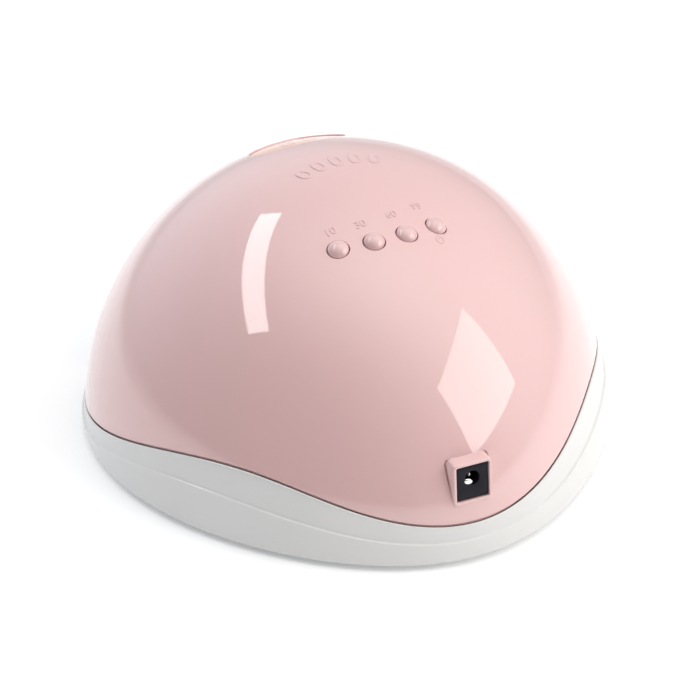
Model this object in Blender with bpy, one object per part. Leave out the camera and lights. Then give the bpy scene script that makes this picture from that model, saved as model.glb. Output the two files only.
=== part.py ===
"""Dome-shaped UV LED nail lamp: a glossy top shell on a white lower housing, over a removable base tray.

Numbers are millimetres and turn into metres where a mesh is made. +Z is up, the hand opening faces -Y,
the power jack faces +Y, and the rubber feet stand on z = 0 with the origin midway along and across.
"""

import math

import bmesh
import bpy
from mathutils import Matrix, Vector

MM = 0.001

# Outer dome: an egg-shaped plan under an elliptical section that leans towards the front.
HALF_WIDTH = 102.0
HALF_LENGTH = 107.5
HEIGHT = 106.0
EGG_TAPER = 0.08
EGG_SQUARENESS = 0.10
FRONT_LEAN = 9.0
BOTTOM_Z = 2.0
SHELL_WALL = 2.0

# Lower housing: its upper edge and its stepped ridge rise from the rear to a crest at each side and fall
# to the front, with the crest and the start of the level front at these angles from the rear.
EDGE_WAVE = {"rear": 16.0, "crest": 31.0, "front": 9.0, "crest_deg": 52.0, "front_deg": 122.0}
RIDGE_WAVE = {"rear": 10.0, "crest": 19.5, "front": 4.4, "crest_deg": 60.0, "front_deg": 118.0}
PARTING_GAP = 0.4
LOWER_PROUD = 1.2
UPPER_PROUD = 0.5
HOUSING_WALL = 2.4
PLATE_Z = (5.3, 7.9)

# Inner liner, the reflector round the hand chamber.
LINER_INSET = 17.0
LINER_WALL = 1.6
LINER_TOP = 74.0
LINER_POWER = 2.3
FLANGE_Z = (8.2, 9.4)
FLANGE_WIDTH = 2.8

# Hand opening: an arch cut along Y through the front.
ARCH_HALF_WIDTH = 75.0
ARCH_HEIGHT = 52.0
ARCH_POWER = 2.6
BEZEL_WALL = 2.4
BEZEL_PROUD = 0.6

# Base tray.
TRAY_Z = (2.0, 5.0)
TRAY_INSET = 3.1
SILL_PROUD = 0.5
FOOT_RADIUS = 6.0
FOOT_PEG_RADIUS = 2.0
FOOT_PLACES = ((58.0, 62.0), (-58.0, 62.0), (-58.0, -66.0), (58.0, -66.0))
FINGER_PITCH = 23.0

# Fasteners and magnets stand this far in from the outline, at these angles from the rear.
POST_INSET = 10.8
POST_RADIUS = 3.0
POST_ANGLES = (40.0, 100.0, -100.0, -40.0)
SCREW_RADIUS = 1.5
SCREW_TIP_Z = 21.5
MAGNET_INSET = 9.5
MAGNET_RADIUS = 4.5
MAGNET_ANGLE = 72.0

# Buttons: four caps in a shallow arc across the dome, over switches on one board.
BUTTON_PITCH = 13.5
BUTTON_Y = 31.5
BUTTON_ARC = 2.8
BUTTON_RADIUS = 4.05
BUTTON_CROWN = 2.3
BUTTON_HOLE = 4.4
BUTTON_EDGE = 0.3
BUTTON_FLANGE = (5.3, 0.8)
BUTTON_STEM_RADIUS = 1.5
BUTTON_FLANGE_DEPTH = 2.5
PLUNGER_DEPTH = 7.0
PLUNGER_RADIUS = 1.6
SWITCH_BORE_RADIUS = 2.1
SWITCH_DEPTH = (8.0, 11.8)
BOARD_DEPTH = (12.1, 13.7)
BOARD_SIZE = (62.0, 30.0)
BOARD_POST_RADIUS = 2.0

# Display window, a squared oval near the front of the dome top, and the module under it.
WINDOW_Y = -52.0
WINDOW_SIZE = (39.0, 19.0)
WINDOW_POWER = 2.4
MODULE_SIZE = (33.0, 15.0, 7.0)
MODULE_DEPTH = 4.2

# Power jack in a hooded frame at the rear.
JACK_SIZE = (12.7, 13.8)
JACK_CENTRE_Y = 102.2
JACK_CENTRE_Z = 32.0
JACK_TILT_DEG = 5.0
JACK_LENGTH = 14.0
JACK_BORE_RADIUS = 3.1
JACK_BORE_RISE = 1.6
JACK_BORE_DEPTH = 10.5
JACK_PIN_RADIUS = 1.05
JACK_PIN_TIP = -1.4
HOOD_RIM = 1.3
HOOD_DEPTH = 12.0

# LED rows on the liner: height, how many, and the angle from the rear to the row's ends.
LED_ROWS = ((22.0, 10, 115.0), (44.0, 8, 105.0), (62.0, 5, 100.0), (72.2, 1, 0.0))
LED_RADIUS = 2.4
LED_BASE = 6.2
SENSOR_Z = 62.0
SENSOR_RADIUS = 2.0

CLEARANCE = 0.3
COLUMNS = 48


# Materials: base colour, roughness, metallic.
FINISHES = {
    "pink_gloss": ((0.80, 0.50, 0.48), 0.12, 0.0),
    "white_satin": ((0.80, 0.79, 0.77), 0.30, 0.0),
    "reflector_white": ((0.86, 0.86, 0.86), 0.22, 0.0),
    "button_pink": ((0.82, 0.54, 0.52), 0.16, 0.0),
    "window_smoke": ((0.10, 0.05, 0.04), 0.08, 0.0),
    "black_plastic": ((0.02, 0.02, 0.02), 0.35, 0.0),
    "circuit_board": ((0.03, 0.18, 0.08), 0.45, 0.0),
    "nickel": ((0.70, 0.70, 0.68), 0.25, 1.0),
    "rubber": ((0.05, 0.05, 0.05), 0.80, 0.0),
    "led_lens": ((0.75, 0.72, 0.35), 0.10, 0.0),
    "lead_jacket": ((0.08, 0.08, 0.09), 0.50, 0.0),
}


def finish_of(slot, piece):
    """A material of this piece's own, in the colour and gloss of its finish."""
    colour, roughness, metallic = FINISHES[slot]
    material = bpy.data.materials.new(piece)
    material.use_nodes = True
    shader = material.node_tree.nodes["Principled BSDF"]
    shader.inputs["Base Color"].default_value = (*colour, 1.0)
    shader.inputs["Roughness"].default_value = roughness
    shader.inputs["Metallic"].default_value = metallic
    return material


# Mesh tools


class Solid:
    """Vertices and faces gathered from lofts, in millimetres, for one object."""

    def __init__(self):
        self.points = []
        self.faces = []

    def loft(self, rings, wrap=False, matrix=None):
        """Joins rings of points in turn. A ring of one point closes an end, and a flat cap any other."""
        place = matrix or Matrix.Identity(4)
        rows = []
        for ring in rings:
            rows.append(range(len(self.points), len(self.points) + len(ring)))
            self.points += [place @ Vector(point) for point in ring]
        pairs = list(zip(rows, rows[1:]))
        if wrap:
            pairs.append((rows[-1], rows[0]))
        for low, high in pairs:
            count = max(len(low), len(high))
            for i in range(count):
                j = (i + 1) % count
                corners = (low[i % len(low)], low[j % len(low)], high[j % len(high)], high[i % len(high)])
                self.faces.append(tuple(dict.fromkeys(corners)))
        if not wrap:
            self.faces += [tuple(row) for row in (rows[0], rows[-1]) if len(row) > 1]
        return self

    def turned(self, profile, matrix=None, sides=24):
        """A profile of (radius, height) pairs turned about the local Z axis. Radius 0 is a point on it."""
        rings = [
            [(0.0, 0.0, height)]
            if radius == 0
            else [
                (radius * math.cos(a), radius * math.sin(a), height)
                for a in (2 * math.pi * i / sides for i in range(sides))
            ]
            for radius, height in profile
        ]
        return self.loft(rings, matrix=matrix)

    def rod(self, radius, low, high, matrix=None, sides=24):
        return self.turned(((radius, low), (radius, high)), matrix, sides)

    def block(self, width, depth, low, high, corner=0.0, matrix=None):
        """A rectangle with round corners, centred on the local Z axis and running from low to high."""
        outline = rounded_rectangle(width, depth, corner)
        return self.loft([[(x, y, z) for x, y in outline] for z in (low, high)], matrix=matrix)

    def build(self, name, slot=None):
        """The object: a piece with its finish, or a hidden cutter where no finish is named."""
        mesh = bpy.data.meshes.new(name)
        mesh.from_pydata([point * MM for point in self.points], [], self.faces)
        shape = bmesh.new()
        shape.from_mesh(mesh)
        bmesh.ops.recalc_face_normals(shape, faces=shape.faces)
        shape.to_mesh(mesh)
        shape.free()
        piece = bpy.data.objects.new(name, mesh)
        bpy.context.scene.collection.objects.link(piece)
        if slot is None:
            piece.hide_render = True
            piece.display_type = "WIRE"
        else:
            mesh.materials.append(finish_of(slot, name))
            mesh.shade_smooth()
            mesh.set_sharp_from_angle(angle=math.radians(35))
        return piece


def rounded_rectangle(width, depth, corner, steps=4):
    """Points round a rectangle, anticlockwise, with an arc of this radius at each corner."""
    if corner == 0:
        return [(sx * width / 2, sy * depth / 2) for sx, sy in ((1, -1), (1, 1), (-1, 1), (-1, -1))]
    points = []
    for quarter, (sx, sy) in enumerate(((1, 1), (-1, 1), (-1, -1), (1, -1))):
        for i in range(steps + 1):
            angle = math.pi / 2 * (quarter + i / steps)
            x = sx * (width / 2 - corner) + corner * math.cos(angle)
            y = sy * (depth / 2 - corner) + corner * math.sin(angle)
            points.append((x, y))
    return points


def squared_oval(width, depth, power, steps=40):
    points = []
    for i in range(steps):
        c, s = math.cos(2 * math.pi * i / steps), math.sin(2 * math.pi * i / steps)
        x = math.copysign(abs(c) ** (2 / power), c) * width / 2
        y = math.copysign(abs(s) ** (2 / power), s) * depth / 2
        points.append((x, y))
    return points


def boolean(piece, other, operation):
    """A Boolean modifier with the EXACT solver."""
    modifier = piece.modifiers.new(operation.title(), "BOOLEAN")
    modifier.operation = operation
    modifier.object = other


def own_axis(piece, origin):
    """Moves an object's origin to this point, in millimetres, and leaves its mesh where it is."""
    piece.data.transform(Matrix.Translation(-origin * MM))
    piece.location = origin * MM


# The dome


def egg(turn):
    """Half the plan's breadth, before scaling, at this turn from the rear."""
    c = math.cos(turn)
    return math.sin(turn) * (1 - EGG_TAPER * c - EGG_SQUARENESS * c * c)


EGG_BREADTH = max(egg(math.pi * i / 720) for i in range(721))


def outline(turn, offset=0.0):
    """A point of the plan, this far outside the outline along its normal."""
    step = 1e-4
    x, y = HALF_WIDTH * egg(turn) / EGG_BREADTH, HALF_LENGTH * math.cos(turn)
    dx = HALF_WIDTH * (egg(turn + step) - egg(turn - step)) / EGG_BREADTH
    dy = HALF_LENGTH * (math.cos(turn + step) - math.cos(turn - step))
    length = math.hypot(dx, dy)
    return x - offset * dy / length, y + offset * dx / length


def dome_point(turn, z, offset=0.0, top=None, power=2.0):
    """A point at height z on the dome that lies this far outside the outer one."""
    top = HEIGHT + offset if top is None else top
    rise = min(max((z - BOTTOM_Z) / (top - BOTTOM_Z), 0.0), 1.0)
    scale = (1 - rise**power) ** (1 / power)
    x, y = outline(turn, offset)
    return Vector((x * scale, y * scale - FRONT_LEAN * z / HEIGHT, z))


def liner_point(turn, z, offset=0.0):
    """A point at height z on the liner's outer face, or this far outside it."""
    return dome_point(turn, z, offset - LINER_INSET, LINER_TOP + offset, LINER_POWER)


def turns(count=COLUMNS):
    return [2 * math.pi * i / count for i in range(count)]


def turn_at(angle_deg):
    """The outline's turn where the plan lies at this angle from the rear."""
    target, low, high = math.radians(abs(angle_deg)), 0.0, math.pi
    for _ in range(40):
        middle = (low + high) / 2
        x, y = outline(middle)
        low, high = (middle, high) if math.atan2(x, y) < target else (low, middle)
    return math.copysign((low + high) / 2, angle_deg)


def ease(part):
    """From 0 to 1 along half a cosine."""
    return (1 - math.cos(math.pi * min(max(part, 0.0), 1.0))) / 2


def wave(turn, line):
    """The height of a wavy line there: it eases up from the rear to the crest, then down to the front."""
    x, y = outline(turn)
    angle = math.degrees(abs(math.atan2(x, y)))
    up = ease(angle / line["crest_deg"])
    down = ease((angle - line["crest_deg"]) / (line["front_deg"] - line["crest_deg"]))
    return line["rear"] + (line["crest"] - line["rear"]) * up + (line["front"] - line["crest"]) * down


def dome_rings(point_at, low_at, top, rows):
    """Rings from the height low_at(turn) up to a point at the top, evenly spaced along the climb."""
    rings = []
    for row in range(rows):
        ring = []
        for turn in turns():
            start = math.asin(min((low_at(turn) - BOTTOM_Z) / (top - BOTTOM_Z), 1.0))
            climb = start + (math.pi / 2 - start) * row / rows
            ring.append(point_at(turn, BOTTOM_Z + (top - BOTTOM_Z) * math.sin(climb)))
        rings.append(ring)
    return [*rings, [point_at(0.0, top)]]


def dome_solid(name, offset, low):
    """A hidden solid dome with a flat bottom."""
    rings = dome_rings(lambda turn, z: dome_point(turn, z, offset), lambda turn: low, HEIGHT + offset, 14)
    return Solid().loft(rings).build(name)


def surface_z(x, y):
    """The height of the outer dome over this place."""
    low, high = BOTTOM_Z, HEIGHT
    for _ in range(40):
        z = (low + high) / 2
        y_own = y + FRONT_LEAN * z / HEIGHT
        turn = turn_at(math.degrees(math.atan2(x, y_own)))
        reach = dome_point(turn, z)
        inside = math.hypot(x, y_own) < math.hypot(reach.x, reach.y + FRONT_LEAN * z / HEIGHT)
        low, high = (z, high) if inside else (low, z)
    return z


def surface_frame(x, y):
    """A matrix at this place on the dome: local Z along the outward normal, local X across the lamp."""
    step = 0.5
    slope_x = (surface_z(x + step, y) - surface_z(x - step, y)) / (2 * step)
    slope_y = (surface_z(x, y + step) - surface_z(x, y - step)) / (2 * step)
    return facing(Vector((x, y, surface_z(x, y))), Vector((-slope_x, -slope_y, 1.0)))


def facing(origin, normal):
    """A matrix at origin with local Z along normal and local X as near world X as it can be."""
    normal = normal.normalized()
    across = Vector((1, 0, 0)) if abs(normal.x) < 0.9 else Vector((0, -math.copysign(1, normal.x), 0))
    side = (across - normal * across.dot(normal)).normalized()
    turned = Matrix((side, normal.cross(side), normal)).transposed()
    return Matrix.Translation(origin) @ turned.to_4x4()


def arch(grow):
    """The hand opening's outline in X and Z, from its left foot over the top to its right foot."""
    half, height = ARCH_HALF_WIDTH + grow, ARCH_HEIGHT + grow
    points = [(half, -5.0)]
    for i in range(33):
        c, s = math.cos(math.pi * i / 32), math.sin(math.pi * i / 32)
        x = math.copysign(abs(c) ** (2 / ARCH_POWER), c) * half
        points.append((x, BOTTOM_Z + s ** (2 / ARCH_POWER) * height))
    return [*points, (-half, -5.0)]


def arch_prism(solid, grow, front=-130.0, rear=-30.0):
    points = arch(grow)
    return solid.loft([[(x, y, z) for x, z in points] for y in (front, rear)])


def place_at(angle_deg, inset):
    """A vertical frame this far inside the outline, at this angle from the rear."""
    x, y = outline(turn_at(angle_deg), -inset)
    return Matrix.Translation((x, y, 0))


# Frames that several pieces share


def jack_frame():
    """The jack's face centre: local Z out of the socket, local Y up the face."""
    tilt = math.radians(JACK_TILT_DEG)
    normal = Vector((0, math.cos(tilt), math.sin(tilt)))
    up = Vector((0, -math.sin(tilt), math.cos(tilt)))
    turned = Matrix((up.cross(normal), up, normal)).transposed()
    return Matrix.Translation((0, JACK_CENTRE_Y, JACK_CENTRE_Z)) @ turned.to_4x4()


def button_frames():
    places = []
    for i in range(4):
        x = (1.5 - i) * BUTTON_PITCH
        y = BUTTON_Y - (BUTTON_ARC if i in (0, 3) else 0.0)
        places.append(surface_frame(x, y))
    return places


def drop_to(frame, board, depth):
    """How far down the button's own axis lies the plane at this depth under the board frame."""
    normal = board.col[2].to_3d()
    start = (frame.translation - board.translation).dot(normal)
    return (start + depth) / frame.col[2].to_3d().dot(normal)


# Pieces of the lamp


def make_lower_housing():
    """The white ring: an outer wall with a step at the ridge, and a flat plate under the liner."""
    low, high = PLATE_Z
    rings = []
    for turn in turns():
        ridge, edge = wave(turn, RIDGE_WAVE), wave(turn, EDGE_WAVE)
        wall = -(HOUSING_WALL - UPPER_PROUD)
        profile = (
            (-0.2, BOTTOM_Z),
            (LOWER_PROUD, BOTTOM_Z + 1.2),
            (LOWER_PROUD, ridge - 0.4),
            (UPPER_PROUD, ridge + 0.6),
            (UPPER_PROUD - 0.1, edge - 0.5),
            (UPPER_PROUD - 0.5, edge),
            (wall, edge),
            (wall, high),
            (CLEARANCE - LINER_INSET, high),
            (CLEARANCE - LINER_INSET, low),
            (wall - 0.8, low),
            (wall - 0.8, BOTTOM_Z),
        )
        rings.append([dome_point(turn, z, offset, HEIGHT) for offset, z in profile])
    housing = Solid().loft(rings, wrap=True).build("lower_housing", "white_satin")
    cutter = arch_prism(Solid(), BEZEL_WALL + CLEARANCE)
    for angle in POST_ANGLES:
        place = place_at(angle, POST_INSET)
        head, neck = SCREW_RADIUS * 2 + CLEARANCE, SCREW_RADIUS + CLEARANCE
        cutter.turned(((head, low - 1), (head, high - 1), (neck, high - 1), (neck, high + 1)), place)
    for angle in (MAGNET_ANGLE, -MAGNET_ANGLE):
        cutter.rod(MAGNET_RADIUS + CLEARANCE, low - 1, high - 0.7, place_at(angle, MAGNET_INSET))
    boolean(housing, cutter.build("housing_cutter"), "DIFFERENCE")


def make_top_shell(buttons, board, window, jack):
    """The glossy dome, with its hood round the jack and its posts for the screws and the board."""

    def low_at(turn):
        return wave(turn, EDGE_WAVE) + PARTING_GAP

    outer = dome_rings(lambda turn, z: dome_point(turn, z), low_at, HEIGHT, 11)
    inner = dome_rings(
        lambda turn, z: dome_point(turn, z, -SHELL_WALL), low_at, HEIGHT - SHELL_WALL, 11
    )
    shell = Solid().loft([*reversed(inner), *outer]).build("top_shell", "pink_gloss")

    width, height = (side + 2 * (CLEARANCE + HOOD_RIM) for side in JACK_SIZE)
    hood = Solid().block(width, height, -HOOD_DEPTH, 0.5, 1.6, jack)
    boolean(shell, hood.build("jack_hood"), "UNION")

    posts = Solid()
    for angle in POST_ANGLES:
        posts.rod(POST_RADIUS, FLANGE_Z[0], 60.0, place_at(angle, POST_INSET), sides=16)
    for sx, sy in ((1, 1), (-1, 1), (-1, -1), (1, -1)):
        corner = board @ Matrix.Translation((sx * (BOARD_SIZE[0] / 2 - 4), sy * (BOARD_SIZE[1] / 2 - 3), 0))
        posts.rod(BOARD_POST_RADIUS, CLEARANCE - BOARD_DEPTH[0], 10.0, corner, sides=12)
    posts = posts.build("shell_posts")
    boolean(posts, dome_solid("inside_of_shell", -SHELL_WALL / 2, -5.0), "INTERSECT")
    boolean(shell, posts, "UNION")

    cutter = arch_prism(Solid(), BEZEL_WALL + CLEARANCE)
    for frame in buttons:
        cutter.rod(BUTTON_HOLE, -4.0, 3.0, frame, sides=20)
    wide, deep = (side + 2 * CLEARANCE + 0.1 for side in WINDOW_SIZE)
    oval = squared_oval(wide, deep, WINDOW_POWER)
    cutter.loft([[(x, y, z) for x, y in oval] for z in (-8.0, 4.0)], matrix=window)
    cutter.block(*(side + 2 * CLEARANCE for side in JACK_SIZE), -30.0, 5.0, 0.0, jack)
    for angle in POST_ANGLES:
        cutter.rod(SCREW_RADIUS + CLEARANCE, 7.0, 24.0, place_at(angle, POST_INSET), sides=16)
    boolean(shell, cutter.build("shell_cutter"), "DIFFERENCE")


def make_inner_liner(leds, sensor):
    """The white reflector over the hand, with a flange that stands on the housing's plate."""
    low, high = FLANGE_Z
    outer = dome_rings(liner_point, lambda turn: high, LINER_TOP, 8)
    inner = dome_rings(
        lambda turn, z: liner_point(turn, z, -LINER_WALL), lambda turn: high, LINER_TOP - LINER_WALL, 8
    )
    section = (
        (-LINER_WALL, PLATE_Z[0]),
        (0.0, PLATE_Z[0]),
        (0.0, low),
        (FLANGE_WIDTH, low),
        (FLANGE_WIDTH, high),
    )
    foot = [[liner_point(turn, z, offset) for turn in turns()] for offset, z in section]
    liner = Solid().loft([*reversed(inner), *foot, *outer]).build("inner_liner", "reflector_white")
    cutter = arch_prism(Solid(), 0.4)
    for frame in leds:
        cutter.rod(LED_RADIUS + CLEARANCE, -4.0, 4.0, frame, sides=8)
    cutter.rod(SENSOR_RADIUS + CLEARANCE, -4.0, 4.0, sensor, sides=16)
    boolean(liner, cutter.build("liner_cutter"), "DIFFERENCE")


def make_front_bezel():
    """The short arched tunnel that joins the liner to the dome round the hand opening."""
    bezel = arch_prism(Solid(), BEZEL_WALL, rear=-34.0).build("front_bezel", "white_satin")
    boolean(bezel, arch_prism(Solid(), 0.4, -140.0, -20.0).build("bezel_bore"), "DIFFERENCE")
    boolean(bezel, dome_solid("bezel_face", BEZEL_PROUD, TRAY_Z[1] + CLEARANCE), "INTERSECT")
    reach, over = FLANGE_WIDTH + CLEARANCE, FLANGE_Z[1] + CLEARANCE
    foot = [[liner_point(turn, z, reach) for turn in turns()] for z in (3.0, over)]
    rings = dome_rings(
        lambda turn, z: liner_point(turn, z, CLEARANCE), lambda turn: over, LINER_TOP + CLEARANCE, 8
    )
    boolean(bezel, Solid().loft([*foot, *rings]).build("bezel_back"), "DIFFERENCE")


def make_base_tray():
    """The removable floor: it fits inside the housing and fills the sill of the hand opening."""
    low, high = TRAY_Z

    def plate(offset):
        return [[dome_point(turn, z, offset, HEIGHT) for turn in turns()] for z in TRAY_Z]

    tray = Solid().loft(plate(-TRAY_INSET)).build("base_tray", "white_satin")
    sill = Solid().loft(plate(SILL_PROUD)).build("tray_sill")
    half = ARCH_HALF_WIDTH + BEZEL_WALL - CLEARANCE
    span = Solid().block(2 * half, 80.0, 0.0, 10.0, matrix=Matrix.Translation((0, -85.0, 0)))
    boolean(sill, span.build("sill_span"), "INTERSECT")
    boolean(tray, sill, "UNION")
    cutter = Solid()
    for x, y in FOOT_PLACES:
        cutter.rod(FOOT_PEG_RADIUS + CLEARANCE, low - 1, high - 0.8, Matrix.Translation((x, y, 0)), 16)
    for angle in (MAGNET_ANGLE, -MAGNET_ANGLE):
        cutter.rod(MAGNET_RADIUS + CLEARANCE, high - 2.0, high + 1, place_at(angle, MAGNET_INSET))
    for i in range(-2, 3):
        lean = Matrix.Rotation(math.radians(-6.0 * i), 4, "Z")
        shape = Matrix.Diagonal((7.5, 24.0, 1.1, 1.0))
        steps = [math.pi * k / 6 for k in range(7)]
        profile = [(math.sin(a) if 0 < k < 6 else 0.0, math.cos(a)) for k, a in enumerate(steps)]
        place = Matrix.Translation((FINGER_PITCH * i, 6.0 - 5.0 * i * i, high))
        cutter.turned(profile, place @ lean @ shape, 20)
    boolean(tray, cutter.build("tray_cutter"), "DIFFERENCE")


def make_tray_fittings():
    """Rubber feet with pegs, and the pairs of magnets that hold the lamp down on its tray."""
    for i, (x, y) in enumerate(FOOT_PLACES, 1):
        shoulder, tip = TRAY_Z[0] - CLEARANCE, TRAY_Z[1] - 1.2
        profile = (
            (0, 0),
            (FOOT_RADIUS - 0.5, 0),
            (FOOT_RADIUS, 0.5),
            (FOOT_RADIUS, shoulder),
            (FOOT_PEG_RADIUS, shoulder),
            (FOOT_PEG_RADIUS, tip),
            (0, tip),
        )
        Solid().turned(profile, Matrix.Translation((x, y, 0))).build(f"rubber_foot_{i}", "rubber")
    for side, angle in (("left", MAGNET_ANGLE), ("right", -MAGNET_ANGLE)):
        place = place_at(angle, MAGNET_INSET)
        low = Solid().rod(MAGNET_RADIUS, TRAY_Z[1] - 1.7, TRAY_Z[1] - 0.1, place)
        low.build(f"tray_magnet_{side}", "nickel")
        high = Solid().rod(MAGNET_RADIUS, PLATE_Z[0] + 0.1, PLATE_Z[0] + 1.6, place)
        high.build(f"housing_magnet_{side}", "nickel")


def make_screws():
    """Pan-head screws that go up through the housing's plate into the shell's posts."""
    for i, angle in enumerate(POST_ANGLES, 1):
        head, low = 2 * SCREW_RADIUS, PLATE_Z[0] + 0.1
        profile = (
            (0, low + 0.6),
            (0.8, low + 0.6),
            (0.9, low),
            (head - 0.4, low),
            (head, low + 0.4),
            (head, low + 1.2),
            (SCREW_RADIUS, low + 1.2),
            (SCREW_RADIUS, SCREW_TIP_Z - 2.5),
            (0.6, SCREW_TIP_Z),
            (0, SCREW_TIP_Z),
        )
        Solid().turned(profile, place_at(angle, POST_INSET), 16).build(f"housing_screw_{i}", "nickel")


def make_display(window):
    """A window that follows the dome, and the digit module under it."""
    low, high = MODULE_DEPTH + MODULE_SIZE[2], MODULE_DEPTH
    oval = squared_oval(*WINDOW_SIZE, WINDOW_POWER)
    glass = Solid().loft([[(x, y, z) for x, y in oval] for z in (-8.0, 4.0)], matrix=window)
    glass = glass.build("display_window", "window_smoke")
    boolean(glass, dome_solid("window_face", -0.1, 40.0), "INTERSECT")
    boolean(glass, dome_solid("window_back", 0.15 - SHELL_WALL, 35.0), "DIFFERENCE")
    width, depth = MODULE_SIZE[:2]
    module = Solid().block(width, depth, -low, -high, 0.6, window)
    module = module.build("display_module", "black_plastic")
    board = Solid().block(width + 5, depth + 5, -low - 1.6, 0.2 - low, 1.0, window)
    boolean(module, board.build("module_board"), "UNION")


def make_board(board, switches):
    """The control board and the bodies of its four switches."""
    low, high = (-depth for depth in reversed(BOARD_DEPTH))
    Solid().block(*BOARD_SIZE, low, high, 1.5, board).build("control_board", "circuit_board")
    for i, place in enumerate(switches, 1):
        low, high = (-depth for depth in reversed(SWITCH_DEPTH))
        body = Solid().block(6.0, 6.0, low, high, 0.4, place).build(f"tact_switch_{i}", "black_plastic")
        bore = Solid().rod(SWITCH_BORE_RADIUS, low + 0.4, high + 1, place, 16).build(f"switch_bore_{i}")
        boolean(body, bore, "DIFFERENCE")


def make_buttons(buttons, board, switches):
    """Domed caps with a flange under the shell, and the plungers that they press."""
    dome = BUTTON_CROWN - BUTTON_EDGE
    ball = (BUTTON_RADIUS**2 + dome**2) / (2 * dome)
    slope = math.asin(BUTTON_RADIUS / ball)
    wide, thick = BUTTON_FLANGE
    shoulder = -BUTTON_FLANGE_DEPTH
    foot, top = -SWITCH_DEPTH[1] + 1.6, -PLUNGER_DEPTH
    for i, (frame, place) in enumerate(zip(buttons, switches), 1):
        arc = []
        for k in range(5):
            tilt = slope * k / 4
            rise = ball * (math.cos(tilt) - math.cos(slope))
            arc.append((ball * math.sin(tilt), BUTTON_EDGE + rise))
        stem = -drop_to(frame, board, PLUNGER_DEPTH - 0.5)
        skirt = (
            (BUTTON_RADIUS, shoulder),
            (wide, shoulder),
            (wide, shoulder - thick),
            (BUTTON_STEM_RADIUS, shoulder - thick),
            (BUTTON_STEM_RADIUS, stem),
            (0, stem),
        )
        cap = Solid().turned([*arc, *skirt], frame, 16).build(f"button_cap_{i}", "button_pink")
        own_axis(cap, frame.translation)
        profile = (
            (0, foot),
            (PLUNGER_RADIUS, foot),
            (PLUNGER_RADIUS, top - 0.3),
            (PLUNGER_RADIUS - 0.3, top),
            (0, top),
        )
        plunger = Solid().turned(profile, place, 16)
        own_axis(plunger.build(f"switch_plunger_{i}", "black_plastic"), frame.translation)


def make_jack(jack):
    """The power socket: a black block with a round bore, and its centre pin."""
    low, recess = -JACK_LENGTH, -0.2
    block = Solid().block(*JACK_SIZE, low, recess, 0.5, jack).build("dc_jack", "black_plastic")
    bore = jack @ Matrix.Translation((0, JACK_BORE_RISE, 0))
    cutter = Solid()
    hole, pin = JACK_BORE_RADIUS, JACK_PIN_RADIUS + CLEARANCE
    floor = recess - JACK_BORE_DEPTH
    cutter.turned(((pin, floor - 1.6), (pin, floor), (hole, floor), (hole, 1.0)), bore, 32)
    boolean(block, cutter.build("jack_bore"), "DIFFERENCE")
    root, tip = floor - 1.2, JACK_PIN_TIP
    profile = (
        (0, root),
        (JACK_PIN_RADIUS, root),
        (JACK_PIN_RADIUS, tip - 0.6),
        (JACK_PIN_RADIUS - 0.45, tip),
        (0, tip),
    )
    Solid().turned(profile, bore, 16).build("dc_jack_pin", "nickel")


def led_frames():
    """Where each LED sits on the liner's inner face: local Z outwards, away from the hand."""
    frames = []
    for z, count, reach in LED_ROWS:
        for i in range(count):
            angle = reach * (2 * i / (count - 1) - 1) if count > 1 else 0.0
            frames.append(liner_frame(turn_at(angle), z))
    return frames


def liner_frame(turn, z):
    step = 0.01
    middle = liner_point(turn, z, -LINER_WALL)
    if LINER_TOP - LINER_WALL - z < 0.5:
        return facing(Vector((0, middle.y, z)), Vector((0, 0, 1)))
    round_it = liner_point(turn + step, z, -LINER_WALL) - liner_point(turn - step, z, -LINER_WALL)
    up_it = liner_point(turn, z + step, -LINER_WALL) - liner_point(turn, z - step, -LINER_WALL)
    return facing(middle, up_it.cross(round_it))


def make_leds(leds):
    """Round lenses that stand through the liner on square bases behind it."""
    for i, frame in enumerate(leds, 1):
        back = LINER_WALL + 1.6
        lens = ((0, -1.1), (1.5, -0.8), (LED_RADIUS, 0.4), (LED_RADIUS, back), (0, back))
        led = Solid().turned(lens, frame, 8).build(f"uv_led_{i:02d}", "led_lens")
        low = LINER_WALL + CLEARANCE + 0.4
        base = Solid().block(LED_BASE, LED_BASE, low, low + 1.2, 0.0, frame).build(f"led_base_{i:02d}")
        boolean(led, base, "UNION")


def make_sensor(sensor):
    """The hand sensor over the opening: a lens through the liner on a small block."""
    profile = ((0, -0.6), (SENSOR_RADIUS, 0.0), (SENSOR_RADIUS, 3.0), (0, 3.0))
    lens = Solid().turned(profile, sensor, 16).build("presence_sensor", "black_plastic")
    body = Solid().block(10.0, 6.0, LINER_WALL + 0.6, LINER_WALL + 5.0, 0.8, sensor)
    boolean(lens, body.build("sensor_body"), "UNION")


def make_power_lead():
    """The lead inside the lamp, from the jack's lugs up behind the liner to the board."""
    ends = (Vector((0, 85.4, 34.0)), Vector((0, 84.0, 70.0)), Vector((0, 42.4, 80.6)))
    count = 16
    curve = bpy.data.curves.new("power_lead", "CURVE")
    curve.dimensions = "3D"
    curve.bevel_depth = 1.5 * MM
    curve.bevel_resolution = 2
    curve.use_fill_caps = True
    spline = curve.splines.new("POLY")
    spline.points.add(count)
    for i, point in enumerate(spline.points):
        t = i / count
        place = ends[0] * (1 - t) ** 2 + ends[1] * 2 * t * (1 - t) + ends[2] * t**2
        point.co = (*(place * MM), 1.0)
    lead = bpy.data.objects.new("power_lead", curve)
    curve.materials.append(finish_of("lead_jacket", "power_lead"))
    bpy.context.scene.collection.objects.link(lead)


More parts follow.
